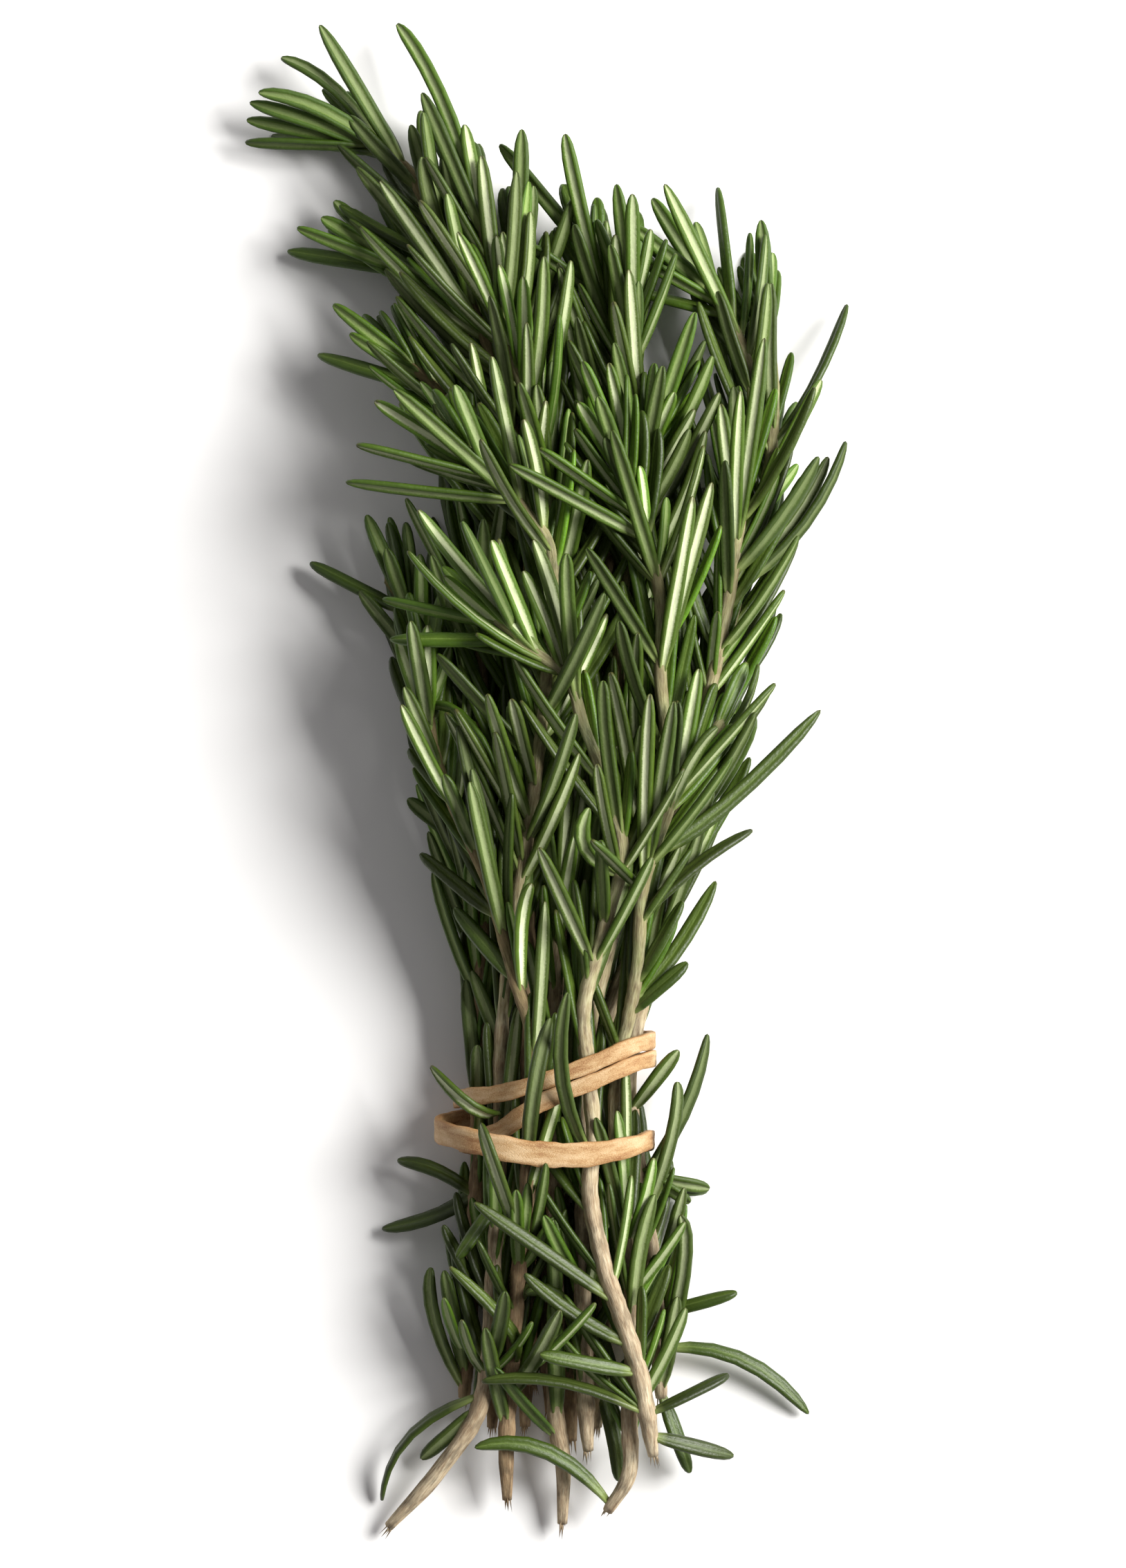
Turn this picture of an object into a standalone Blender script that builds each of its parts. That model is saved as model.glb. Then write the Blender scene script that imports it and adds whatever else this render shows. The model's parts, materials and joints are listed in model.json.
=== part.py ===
"""A bundle of rosemary: sixteen cut sprigs held by a rubber band wound three times, lying on a table.

The stems run along Y, tips towards +Y and cut ends towards -Y. X is across the bundle and Z is up from the
table at z = 0. Lengths here are in millimetres, and mesh points are scaled to metres at the end.
Each sprig is one solid: a round stem with needle leaves sunk into it. The band is one closed strip.
"""

import math
import random

import bmesh
import bpy
from mathutils import Vector
from mathutils.bvhtree import BVHTree

MM = 0.001
COLLECTION = "rosemary_bundle"

# Stems. A route has a point every millimetre, and only some of them carry a ring of the solid.
STEM_SIDES = 5
STEM_FOOT_RADIUS = 1.2
STEM_TIP_RADIUS = 0.7
CUT_SHARE = 0.6
CUT_REACH = 0.05
ROUTE_STEP = 1.0
RING_LEAST = 3
RING_MOST = 15
RING_TURN = math.radians(11)

# Leaves. The belly is the widest place, as a share of the way from root to tip.
LEAF_LENGTH = 23.0
LEAF_WIDTH = 2.3
LEAF_THICKNESS = 1.1
LEAF_BELLY = 0.5

# Room between a leaf and other sprigs, and the shares of its length past which it keeps that room
# to them, and a third of it to the leaves of its own sprig.
CLEARANCE = 0.3
OTHERS_FROM = 0.12
OWN_FROM = 0.24

# Where pairs of leaves grow: their spacing below the band, above it, and near the tip.
FOOT_BARE = 6.0
FIRST_LEAF_Y = -92.0
BAND_ZONE = (-57.0, -31.0)
LOW_PITCH = 4.5
BAND_PITCH = 5.0
HIGH_PITCH = 3.0
TIP_PITCH = 1.9
TIP_REACH = 12.0

# How far leaves lean from the stem, and how their length falls off towards the tip.
LOW_LEAN = (0.12, 0.75)
LOW_SHARE = 0.85
BAND_LEAN = (0.03, 0.14)
TIP_LEAN = math.radians(15)
FULL_LEAN = math.radians(30)
LEAN_REACH = 22.0
OPENING = 30.0
TIP_SHARE = 0.5
SHARE_REACH = 25.0
LAST_SHARE = 0.45
LAST_LEAN = 0.15

# Stretches of stem that show bare, as y from and to for each sprig. No ruled leaf whose turn from straight up
# has a cosine over BARE_FRONT grows there. Of the other ruled leaves over FRONT, half are left out.
BARE = {"sprig_02": [(-96, -33), (-12, 12)], "sprig_04": [(-36, -12)], "sprig_12": [(2, 27)],
        "sprig_05": [(10, 36)], "sprig_03": [(-30, -18), (2, 10)], "sprig_01": [(-90, -84), (-4, 6)]}
BARE_FRONT = -0.2
FRONT = 0.5
FRONT_SHARE = 0.5

# Tries for a free place. A leaf placed by hand has its tip raised or lowered until it is clear, and
# its middle always stands a little above the straight line from root to tip.
TRIES = 22
LIFTS = (0, 1, -1, 2, -2, 3, -3, 4.5, 6, -5)
OWN_RISE = 1.5
OWN_LEAST_LEAN = 0.3
OWN_TURN = 1.0
OWN_ROLL = 0.5
RULED_ROLL = 0.7
RULED_TURN = 0.45
SEED = 41
WELD = 0.000002

BAND_THICKNESS = 1.1
BAND_RINGS_PER_SPAN = 2
BAND_CENTRE = (0.5, 9.2)

# Stem routes from the cut end to the growing tip. The names run from the front of the bundle to its back.
ROUTES = {
    "sprig_01": [(-22, -104, 2.2), (-15, -96, 5.5), (-9, -86, 8), (-7.5, -70, 10.5), (-6.5, -52, 11.4),
                 (-6.3, -36, 11.6), (-4.5, -20, 14.5), (-1.5, 0, 19), (0.3, 18, 22), (0.8, 31, 23.5),
                 (-3.2, 37.5, 25), (-7.5, 42, 25.5), (-10.5, 45.5, 25.5)],
    "sprig_02": [(14.8, -93.5, 11), (13.5, -85, 12.5), (12, -79, 13.5), (10, -73, 14.5), (8, -67, 15.2),
                 (6, -57, 15.6), (6.5, -49, 15.4), (5.8, -40, 15.6), (5.2, -31, 16.6), (8, -20, 18.8),
                 (10.5, -10, 20.5), (8, 0, 21.5), (5, 8, 22.5), (3, 14, 23.4), (-2, 18, 24.4),
                 (-7, 22, 24.4)],
    "sprig_03": [(-5.5, -100, 5), (-5.5, -90, 7), (-4, -70, 11), (-2.5, -52, 14), (-1.8, -37, 15),
                 (-5, -25, 16.5), (-8, -14, 17), (-12.5, -4, 17), (-15.5, 4, 16.5), (-16.5, 12, 15.5),
                 (-17, 17, 15)],
    "sprig_04": [(8.5, -101.5, 6), (11.5, -96, 8), (11.5, -88, 9), (12, -75, 10.5), (10.8, -60, 11.5),
                 (9.5, -50, 12), (9.8, -40, 12.6), (11.3, -33, 14), (12.6, -25, 16.5), (13.2, -15, 18.5),
                 (15, -9, 19.5), (18, -1, 19.5), (21.5, 4, 18.5), (24, 8, 17.5)],
    "sprig_05": [(16, -86, 3.5), (15, -70, 5), (12.5, -52, 7), (11.6, -40, 7.6), (15, -24, 9),
                 (20, -5, 10.5), (24, 14, 12), (25.5, 22, 12.5), (27, 28, 13), (28.5, 35, 12.5),
                 (30, 40, 11.3), (31.2, 46, 9.8), (31.6, 55, 7.2), (30.2, 66, 4)],
    "sprig_06": [(7, -90, 4.2), (8, -72, 5), (7, -52, 6.8), (7, -38, 7.4), (13, -20, 11), (20, 2, 14.5),
                 (24.5, 22, 16.5), (27.2, 40, 15), (28.6, 52, 12), (27.2, 60, 10.5), (23.5, 67, 9),
                 (21, 70.5, 8)],
    "sprig_07": [(-2, -84, 6), (-2.5, -70, 7), (-2.6, -55, 10.8), (-2.8, -38, 11.2), (-2.6, -20, 11.6),
                 (-2.2, 0, 12.5), (-2, 20, 14.5), (-2.6, 36, 15), (-5, 50, 14.5), (-8, 60, 12.5),
                 (-11, 67, 11), (-15, 76, 9), (-19, 84.5, 7), (-24, 88.3, 5.5), (-27, 89.3, 5)],
    "sprig_08": [(-11.5, -86, 3), (-10.5, -70, 4.5), (-9.5, -52, 6.5), (-9.6, -38, 7.2), (-9, -20, 8.5),
                 (-9, 0, 9), (-9, 20, 9), (-8.5, 40, 9.5), (-9, 54, 9.5), (-12.5, 64, 8),
                 (-17, 69.5, 7), (-22, 73, 6)],
    "sprig_09": [(-3, -90, 3), (-3, -75, 3), (-3.8, -55, 3.8), (-3.8, -38, 4.1), (-3, -15, 5),
                 (-2, 10, 6.5), (-2.5, 35, 7), (-3, 55, 7.5), (-3.8, 70, 8), (-3.8, 79, 8)],
    "sprig_10": [(3.5, -92, 3), (3, -75, 3.2), (1.8, -55, 3.8), (1.8, -38, 4.1), (4.5, -15, 5.5),
                 (7, 10, 8), (9, 35, 9.5), (10, 50, 10), (8.5, 64, 10), (5, 76, 9.5)],
    "sprig_11": [(13, -84, 3.2), (11, -70, 4), (7.6, -52, 4.1), (7.6, -38, 4.1), (10, -20, 6.5),
                 (12.5, 0, 9.5), (14, 20, 12.5), (13.5, 40, 14), (12.4, 55, 14), (11.8, 69, 13)],
    "sprig_12": [(5.8, -93, 7.5), (5.5, -88, 8.5), (5, -70, 10), (5.2, -52, 11.2), (5.2, -38, 11.3),
                 (9.5, -20, 14.5), (14, -5, 16), (16.5, 4, 17.5), (15.7, 14, 19.5), (15.5, 26, 21),
                 (12.5, 37, 22), (10, 45, 22)],
    "sprig_13": [(-6, -84, 3), (-6.8, -70, 3.2), (-7.9, -52, 3.9), (-7.9, -38, 4.1), (-10.5, -18, 5),
                 (-13, 0, 6), (-16, 14, 6.5), (-19.5, 24, 7), (-22, 28, 7)],
    "sprig_14": [(-7.6, -90, 4.4), (-6.6, -72, 6.6), (-4.8, -52, 7.3), (-4.5, -38, 7.4),
                 (-4.8, -20, 8.8), (-4.9, 0, 10.5), (-5, 20, 12), (-6.2, 36, 14), (-11, 48, 15),
                 (-16, 55, 14), (-19.5, 58, 13)],
    "sprig_15": [(0.5, -88, 3), (0.2, -72, 5.4), (1.4, -52, 7.3), (1.4, -38, 7.4), (5, -18, 10),
                 (9.5, 0, 12.5), (10, 20, 14.5), (12.3, 38, 17), (14.5, 47, 17.5), (15.6, 51, 17)],
    "sprig_16": [(2.2, -103.5, 3), (2.3, -95, 5), (1.2, -87, 6.5), (1.3, -70, 9.3), (0.9, -52, 10.9),
                 (0.8, -36, 11.2), (2, -15, 12.8), (2.2, 5, 13.8), (1.8, 22, 15), (0.5, 38, 16.5),
                 (-2, 50, 17.5), (-5, 60, 17.5), (-7.5, 70, 15.5), (-9.5, 80, 13), (-11.5, 87, 10.5)],
}

# Leaves with a place of their own, as tip (x, y, z), a point on the way (x, y), some with z, and a root near
# (x, y). Where the middle is None, the leaf runs straight.
OWN_LEAVES = {
    "sprig_01": [((-16, -39.3, 14.5), (-10.4, -44.8, 17.5), (-6.4, -46)),
                 ((-20.8, 53.5, 30), None, (-4, 38.5)), ((-23.5, 52, 27), None, (-8, 42)),
                 ((-26, 46, 28), None, (-8, 40.5)), ((-27.5, 41, 25), (-15, 39.5), (-5, 37.5)),
                 ((-12.5, 54, 30), None, (-7, 42)), ((-7.5, 58, 30), None, (-2.5, 38)),
                 ((-15, 17.5, 25), None, (0, 2.5)), ((-12.5, 10, 25), None, (-3, -8)),
                 ((-13.8, 9.5, 23), (-9, 0), (-4, -13)), ((-7, 6.8, 25), None, (-3, -12)),
                 ((-4.8, 11.3, 27), None, (-1.3, -1)), ((-5.8, -7, 19), None, (-5.2, -27)),
                 ((-12.4, -66, 14), None, (-7.3, -58)), ((-17.5, -94.5, 3), None, (-9.8, -87)),
                 ((-23, -100.5, 1.5), (-19, -91), (-10, -85))],
    "sprig_02": [((-17.5, 37, 31), (-10, 27.5), (1, 16.5)), ((-19, 31.5, 28), (-10, 22.5), (0, 16)),
                 ((-22.5, 25, 24), None, (-7, 21)), ((-21.5, 19.5, 21), None, (-4, 19)),
                 ((-11.5, 35.3, 29), None, (-4, 19.5)), ((-7.5, 33, 27), None, (-1, 17.5)),
                 ((-1.8, 33, 29), (1.5, 23.5), (5, 9)), ((2.8, 31, 28), (3, 23), (5, 10)),
                 ((7.8, 13.8, 27), (8.3, 5), (10.2, -9)), ((5.9, -3.6, 25), (5.3, -9), (9.5, -13)),
                 ((3.8, -13.5, 20), None, (6, -28)),
                 ((3, -28.8, 20.8), (2.2, -41, 20.9), (6.1, -52)),
                 ((-1, -9, 24), None, (6, -25)), ((7.5, -8, 26), None, (8.5, -20)),
                 ((-9, -83, 14), (2, -83), (13.8, -88)),
                 ((-1, -79, 17), None, (12.5, -82)), ((-10, -58, 18), (0, -65), (9.5, -72)),
                 ((25.3, -82.3, 9), None, (14, -87.5)), ((26, -93.8, 7), None, (14.8, -91))],
    "sprig_03": [((-20.5, 20, 17), None, (-16, 6)), ((-18.6, 22, 19), None, (-16, 7)),
                 ((-16.3, 21.5, 20), None, (-16, 8)), ((-7, 1.5, 22), (-11.5, 9), (-16.5, 10)),
                 ((-12.8, -17.5, 12), None, (-4.7, -28)), ((-14, 1, 24), None, (-10, -10)),
                 ((-10.5, 0, 25), None, (-5.8, -22)), ((-19, 4.5, 12), None, (-13, -3)),
                 ((-17.5, -10, 11), None, (-7, -19)), ((-2, -14, 22), (-3.5, -20), (-3.5, -30)),
                 ((0.6, -32.5, 20), (-1.7, -42.6, 21.3), (-2.5, -53.5)),
                 ((-9, -47, 20.6), (-6.8, -54, 20.8), (-3.4, -64)),
                 ((-13.5, -67, 10), (-4.8, -76), (-4.7, -81))],
    "sprig_04": [((37.9, 9.9, 14), (25, -3), (15, -10)), ((31.5, 13.5, 20), None, (18, -3)),
                 ((17.5, 11, 27), None, (13.5, -13)), ((28.5, -6.7, 14), (20, -12), (13.3, -18.5)),
                 ((23.5, -13.8, 10), (17.5, -24), (12, -30)), ((6.2, -8, 24), None, (13.2, -15)),
                 ((19.5, -25, 15), None, (11.8, -32)), ((-10, -92.5, 6), (0, -93), (9, -100.5)),
                 ((15, -57, 15), (12.7, -66), (12, -76)), ((14.2, 12, 26), (13.6, 0), (13.3, -14)),
                 ((23.5, 7.5, 22), (20, 3), (16.5, -6)), ((21, 15.5, 22), None, (18, -1)),
                 ((20, -9.2, 18), None, (14.2, -20)), ((18.8, -16.5, 17), None, (13, -28)),
                 ((5.3, -24.8, 18), None, (9.7, -38)), ((10, -20, 19.5), (9.3, -29), (9.6, -41)),
                 ((17, -67, 11), None, (12.5, -79))],
    "sprig_05": [((39, 45, 11), (34, 36), (27.5, 29)), ((36.5, 43, 6.5), (33, 35), (26.5, 26)),
                 ((28.7, 9.2, 15), (25.5, 2), (20.2, -6)),
                 ((27.2, 15.7, 14), None, (21.8, 3)), ((22.7, -56.7, 5), None, (14, -55)),
                 ((20, -58.5, 9), None, (13, -54)), ((26.5, -71, 8), None, (15.3, -74)),
                 ((18.2, -71.5, 9), None, (15.8, -85)),
                 ((41.9, 66.6, 3), (37, 55), (31.3, 47)), ((38.1, 55.8, 9), None, (30.5, 41)),
                 ((41.4, 47.1, 8), (36, 36), (28, 27)), ((29.8, 78, 8), None, (31, 61)),
                 ((22.3, -35, 10), (19, -46), (13, -56)), ((18, -41.5, 14), (17.3, -49, 12), (13.8, -61)),
                 ((22.5, -57, 4), None, (13.5, -57)), ((18.5, -60, 9), (19, -68), (16, -82)),
                 ((36.6, -88.4, 1.5), (27, -80.5), (15.6, -78.8)),
                 ((20, -96.5, 3), None, (16, -85)), ((18.3, -37.2, 12.5), None, (11.8, -45.5))],
    "sprig_06": [((16.3, 82.7, 12), None, (27, 61)), ((14.7, 81, 8), None, (22, 69.5)),
                 ((12, 77, 10), None, (22.5, 68)), ((12.5, 72.5, 13), None, (24, 66.5)),
                 ((13, 68, 7), None, (25, 64.5)), ((23.8, 82.8, 4), None, (26, 63)),
                 ((30, 61, 20), None, (25.6, 33)), ((24.5, 44, 25), None, (24.5, 25)),
                 ((25.8, 54.5, 19), None, (27.5, 36)), ((24, 52, 19), None, (26.5, 32)),
                 ((29.2, 16.2, 17), (26, 8), (20.5, 4)), ((10, -97.5, 5), (9.3, -91), (7, -84))],
    "sprig_07": [((-31.5, 105, 9), None, (-20, 86)), ((-37, 100.7, 5), (-29.5, 96.3), (-22, 87.5)),
                 ((-40, 95.6, 9), (-31, 93.2), (-21, 87)), ((-41.8, 92.2, 4), None, (-25, 88.8)),
                 ((-41.3, 94.4, 5.5), (-32, 91.5), (-24.5, 88.5)), ((-38.5, 90.2, 2), None, (-22.5, 87)),
                 ((-23, 83, 15), None, (-9, 62.5)), ((-17.2, 86.2, 16), (-15.5, 78), (-11.5, 68)),
                 ((-13.8, 81, 18), None, (-10, 65)),
                 ((-42, 89, 1.5), None, (-24, 88.3)), ((-26.3, 85, 13), None, (-11, 67)),
                 ((-18.8, 91, 11), None, (-13.5, 74))],
    "sprig_08": [((-29.6, 80.8, 5), None, (-20, 72)), ((-31.3, 78.3, 7), None, (-20.5, 72.3)),
                 ((-34.6, 76.8, 9), None, (-18, 70.3)), ((-36.2, 74, 2), None, (-19, 71)),
                 ((-9.5, -36.5, 11), None, (-9.6, -44)),
                 ((-11.2, -27.5, 8), None, (-9.3, -45)), ((-20.8, -52.8, 5), (-15, -54.2), (-10.1, -57.5)),
                 ((-23, -62.5, 2), (-15, -60.3), (-9.8, -57)),
                 ((-16, -67.5, 8), (-15.5, -75), (-11.4, -85)),
                 ((-14.2, -67.8, 10), None, (-11.2, -83))],
    "sprig_09": [((-3.4, 90.3, 12), None, (-3.8, 72)), ((-4.3, 82.3, 16), None, (-3.2, 60)),
                 ((-6.2, 82.6, 6), None, (-3.6, 68))],
    "sprig_10": [((2.6, 89.5, 14), (4.5, 80), (8.5, 64)), ((-6.5, 88.5, 8), None, (5, 73)),
                 ((-2.4, 74.2, 14), None, (8, 67)), ((8.2, 77.8, 10), None, (9.4, 57)),
                 ((2.6, 67, 15), None, (7.5, 30))],
    "sprig_11": [((9.7, 82.5, 15), None, (12, 65)), ((8.8, 74, 18), None, (12.2, 57)),
                 ((9.2, 66, 21), None, (12.5, 47)), ((11.3, 70.5, 19), None, (12.8, 49)),
                 ((11.8, 80.8, 17), None, (12, 66))],
    "sprig_12": [((5, 57.5, 26), None, (9.8, 44.5)), ((4.3, 51.8, 28), None, (11, 41)),
                 ((7, 52.5, 29), None, (11.5, 39.5)), ((22.7, 41, 25), None, (16, 15)),
                 ((8.8, 15, 23), (10.7, 6), (12.8, -8)), ((10, 22, 26), (12, 14), (16.3, 3)),
                 ((-5, 43.2, 31), None, (13.5, 33.5)), ((-1, 45.5, 28), None, (12.8, 36)),
                 ((20, 39, 27), None, (16, 14)), ((5.5, 32, 27), None, (15.6, 16)),
                 ((9, 48, 29), None, (15.2, 27)), ((-3, -71, 13), (3, -73), (5.5, -87))],
    "sprig_13": [((-19.3, -2.4, 8), None, (-11.8, -9)), ((-25, 37, 9), None, (-19.5, 24)),
                 ((-33, 30.5, 3), None, (-19, 23)), ((-26, 26.5, 6), None, (-16, 14))],
    "sprig_14": [((-10.4, -26.2, 13), None, (-4.6, -41)), ((-29.5, 66, 13), None, (-18, 57)),
                 ((-31.8, 59.2, 9), None, (-15, 54))],
    "sprig_15": [((8.6, 57.5, 22), None, (12.6, 40)), ((20.5, 64.5, 21), None, (14.3, 46)),
                 ((16, 57, 24), None, (12.5, 39))],
    "sprig_16": [((-1.3, 54.5, 23), None, (0.6, 36)), ((3, 0.5, 20), None, (2, -17)),
                 ((-2.6, -22, 17), None, (0.8, -38)), ((1, -60.5, 15), None, (1.3, -74)),
                 ((-9, 86.5, 14), None, (-7.2, 68)),
                 ((-20.8, 105.4, 6), (-15.2, 96), (-10, 82)), ((-17.2, 95.3, 13), None, (-8.6, 75)),
                 ((-11.4, 91, 12), None, (-9, 78)), ((-17.5, 80, 19), None, (-5.5, 62))],
}

# How far ruled leaves may reach to the left and right, at rows of y from the cut ends to the tips, and
# places where the table shows between the sprigs, as x, y and radius.
OUTLINE = [(-106, -6, 6), (-100, -19, 12), (-94, -18, 15), (-88, -16, 17), (-80, -16, 19), (-72, -16.5, 20),
           (-62, -15, 20), (-55, -12, 19), (-46, -10, 17), (-38, -10, 15), (-30, -11.5, 17), (-22, -13, 20),
           (-12, -16, 22), (-4, -18, 25), (4, -19, 29), (12, -20.5, 31), (20, -22.5, 32), (28, -23, 34),
           (36, -24, 36), (44, -26, 38), (50, -26, 37), (56, -26, 37), (62, -28, 36), (67, -24, 34),
           (72, -29, 32), (76, -34, 31), (79, -31, 14), (82, -26, 5), (86, -31, -5), (90, -38, -9),
           (95, -36, -13), (100, -28, -18), (105, -22, -20)]
OPEN_PLACES = [(17, 62, 4.5), (18, 56, 2.5), (24.5, 75.5, 3), (35, 64, 4), (37, 57, 2.5), (36, 50, 2),
               (0.5, 80.5, 3), (-7, 85, 2.5), (-28, 84, 4), (-26, 69, 3.5), (-22.5, 99, 4.5),
               (-20.5, 94, 3), (-18, 90.5, 1.5), (-13.5, 97, 3.5), (-10.5, 92, 2.5), (-31, 99.5, 1.5)]

# The band's middle line, as x, y, z and the strip's width. It passes the front three times, and under the
# bundle it lies flat on the table.
BAND_POINTS = [
    (9.5, -35.6, 1.8, 2.1), (13.6, -35.8, 5.5, 2.2), (14.5, -35.9, 11, 2.3), (11.6, -36.6, 15.9, 2.3),
    (6.5, -38.8, 17.7, 2.3), (0, -41.2, 17.6, 2.3), (-6, -43, 15.8, 2.4), (-10.6, -43.7, 12.2, 2.5),
    (-12.4, -44.1, 8, 2.5), (-11.2, -44.1, 3.2, 2.4), (-7, -43.2, 0.55, 2.4), (-2, -42.2, 0.55, 2.4),
    (4, -41, 0.55, 2.4), (9.5, -39.6, 1.3, 2.4), (13.7, -38.8, 5.5, 2.2), (14.6, -38.4, 11, 2.3),
    (11.5, -39.2, 15.9, 2.2), (6.3, -41.45, 17.7, 2.2), (1, -43.5, 17.7, 2.4), (-2.6, -45.5, 16.9, 2.5),
    (-6.2, -48.2, 14.9, 2.6), (-9.6, -49.7, 11.8, 2.6), (-11.6, -50.2, 7.8, 2.6), (-10.6, -50.6, 3.2, 2.7),
    (-7, -51.4, 0.55, 2.8), (-1, -51.4, 0.55, 2.8), (5, -51.2, 0.55, 2.8), (10, -51, 1.2, 2.8),
    (13.8, -50.2, 5.5, 2.7), (14.3, -49.6, 10.5, 2.5), (11.6, -50.4, 15.9, 2.8), (5.5, -51.4, 18.5, 3.4),
    (-1, -51.3, 19.2, 3.5), (-7, -50.3, 18.6, 3.4), (-12, -49.2, 15.4, 3.3), (-15, -48.4, 9.8, 3.1),
    (-13.4, -47.4, 4.2, 2.7), (-8.5, -46.4, 1.8, 2.2), (-2, -44, 1.8, 2.1), (4, -38.6, 1.8, 2.1),
]
MATERIALS = {
    "needle_green": ((0.09, 0.17, 0.045, 1), 0.5),
    "band_tan": ((0.78, 0.5, 0.26, 1), 0.6),
}


def remove_everything():
    """Empties the scene of its objects."""
    for thing in list(bpy.data.objects):
        bpy.data.objects.remove(thing, do_unlink=True)


def make_material(name):
    """A Principled material with the part's colour and roughness."""
    colour, roughness = MATERIALS[name]
    material = bpy.data.materials.new(name)
    material.use_nodes = True
    shader = material.node_tree.nodes["Principled BSDF"]
    shader.inputs["Base Color"].default_value = colour
    shader.inputs["Roughness"].default_value = roughness
    shader.inputs["Metallic"].default_value = 0.0
    return material


def spline_point(before, start, end, after, t):
    """A Catmull-Rom point between start and end."""
    return 0.5 * (
        2 * start
        + (end - before) * t
        + (2 * before - 5 * start + 4 * end - after) * t * t
        + (3 * start - before - 3 * end + after) * t * t * t
    )


def smooth_route(points):
    """Points about ROUTE_STEP apart on a smooth curve through the given ones."""
    knots = [Vector(p) for p in points]
    knots = [2 * knots[0] - knots[1]] + knots + [2 * knots[-1] - knots[-2]]
    route = []
    for i in range(1, len(knots) - 2):
        count = max(1, round((knots[i + 1] - knots[i]).length / ROUTE_STEP))
        for k in range(count):
            route.append(spline_point(*knots[i - 1:i + 3], k / count))
    route.append(knots[-2].copy())
    return route


def direction_at(route, i):
    """The unit direction of a route at one of its points."""
    return (route[min(i + 1, len(route) - 1)] - route[max(i - 1, 0)]).normalized()


def nearest(route, x, y):
    """The index of the route's point nearest to (x, y) in plan."""
    return min(range(len(route)), key=lambda i: (route[i].x - x) ** 2 + (route[i].y - y) ** 2)


def loft(rings, tip=None):
    """Points and faces of a closed skin over rings of equal count, ended by a cap or by a tip point."""
    count = len(rings[0])
    points = [p for ring in rings for p in ring]
    faces = [tuple(reversed(range(count)))]
    for r in range(len(rings) - 1):
        for k in range(count):
            a, b = r * count + k, r * count + (k + 1) % count
            faces.append((a, b, b + count, a + count))
    last = (len(rings) - 1) * count
    if tip is None:
        faces.append(tuple(range(last, last + count)))
    else:
        points.append(tip)
        faces += [(last + k, last + (k + 1) % count, len(points) - 1) for k in range(count)]
    return points, faces


def stem_radius(share):
    """The stem's radius at a share of the way from its cut end, where it is thinner, to its tip."""
    cut = CUT_SHARE + (1 - CUT_SHARE) * min(1.0, share / CUT_REACH)
    return cut * (STEM_FOOT_RADIUS + (STEM_TIP_RADIUS - STEM_FOOT_RADIUS) * share)


def ring_places(route):
    """The route's points that carry a ring of the stem, closer together where it bends."""
    places = [0]
    for i in range(RING_LEAST, len(route) - RING_LEAST):
        passed = i - places[-1]
        turned = direction_at(route, i).angle(direction_at(route, places[-1]))
        if passed >= RING_MOST or (passed >= RING_LEAST and turned > RING_TURN):
            places.append(i)
    return places + [len(route) - 1]


def stem_solid(route):
    """A tapered tube along the route."""
    rings = []
    for i in ring_places(route):
        along = direction_at(route, i)
        across = along.cross(Vector((0, 0, 1))).normalized()
        up = across.cross(along)
        radius = stem_radius(i / (len(route) - 1))
        angles = [2 * math.pi * k / STEM_SIDES for k in range(STEM_SIDES)]
        rings.append([route[i] + radius * (math.cos(a) * up + math.sin(a) * across) for a in angles])
    return loft(rings)


def leaf_point(leaf, t):
    """A point on the leaf's middle line, from its root at 0 to its tip at 1."""
    root, bow, tip = leaf["line"]
    return (1 - t) ** 2 * root + 2 * t * (1 - t) * bow + t * t * tip


def leaf_ring(leaf, t, grow=0.0):
    """The three corners of the leaf at t: two margins and the ridge of its upper face."""
    root, bow, tip = leaf["line"]
    along = ((1 - t) * (bow - root) + t * (tip - bow)).normalized()
    face = (leaf["face"] - leaf["face"].dot(along) * along).normalized()
    side = along.cross(face)
    half = leaf["width"] / 2 + grow
    thick = LEAF_THICKNESS + 2 * grow
    middle = leaf_point(leaf, t)
    low = middle - 0.4 * thick * face
    return [low + half * side, middle + 0.6 * thick * face, low - half * side]


def needle(leaf):
    """The leaf as a three-sided spindle: a point in the stem, one ring at its belly and its tip."""
    points = [leaf["line"][0]] + leaf_ring(leaf, LEAF_BELLY) + [leaf["line"][2]]
    faces = [(0, 2, 1), (0, 3, 2), (0, 1, 3), (4, 1, 2), (4, 2, 3), (4, 3, 1)]
    return points, faces


def needle_guard(leaf, start, grow):
    """The leaf from a start share to its tip, grown by the room that it keeps."""
    rings = [leaf_ring(leaf, start, grow), leaf_ring(leaf, LEAF_BELLY, grow)]
    root, bow, tip = leaf["line"]
    return loft(rings, tip + grow * (tip - bow).normalized())


def lift_to_table(leaf):
    """Raises a leaf that would dip below the table until it lies on it."""
    for _ in range(3):
        low = min(p.z for p in leaf_ring(leaf, LEAF_BELLY))
        root, bow, tip = leaf["line"]
        if low < 0:
            rise = -low / (1 - (1 - LEAF_BELLY) ** 2)
            bow.z += rise
            tip.z += rise
        tip.z = max(tip.z, 0)


def make_leaf(root, bow, tip, face, width):
    """A leaf from its middle line, the way its upper face looks, and its width."""
    leaf = {"line": (root.copy(), bow.copy(), tip.copy()), "face": face, "width": width}
    lift_to_table(leaf)
    return leaf


def faces_of_leaf(along, out, lean):
    """The direction of a leaf that leans from its stem, and of its upper face, which looks at the stem."""
    direction = math.cos(lean) * along + math.sin(lean) * out
    face = math.sin(lean) * along - math.cos(lean) * out
    return direction, face


def turned_up(face, looks_up, weight):
    """A leaf's face turned on its short stalk, so that its upper or its lower face looks up more."""
    return (face + Vector((0, 0, weight if looks_up else -weight))).normalized()


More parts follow.
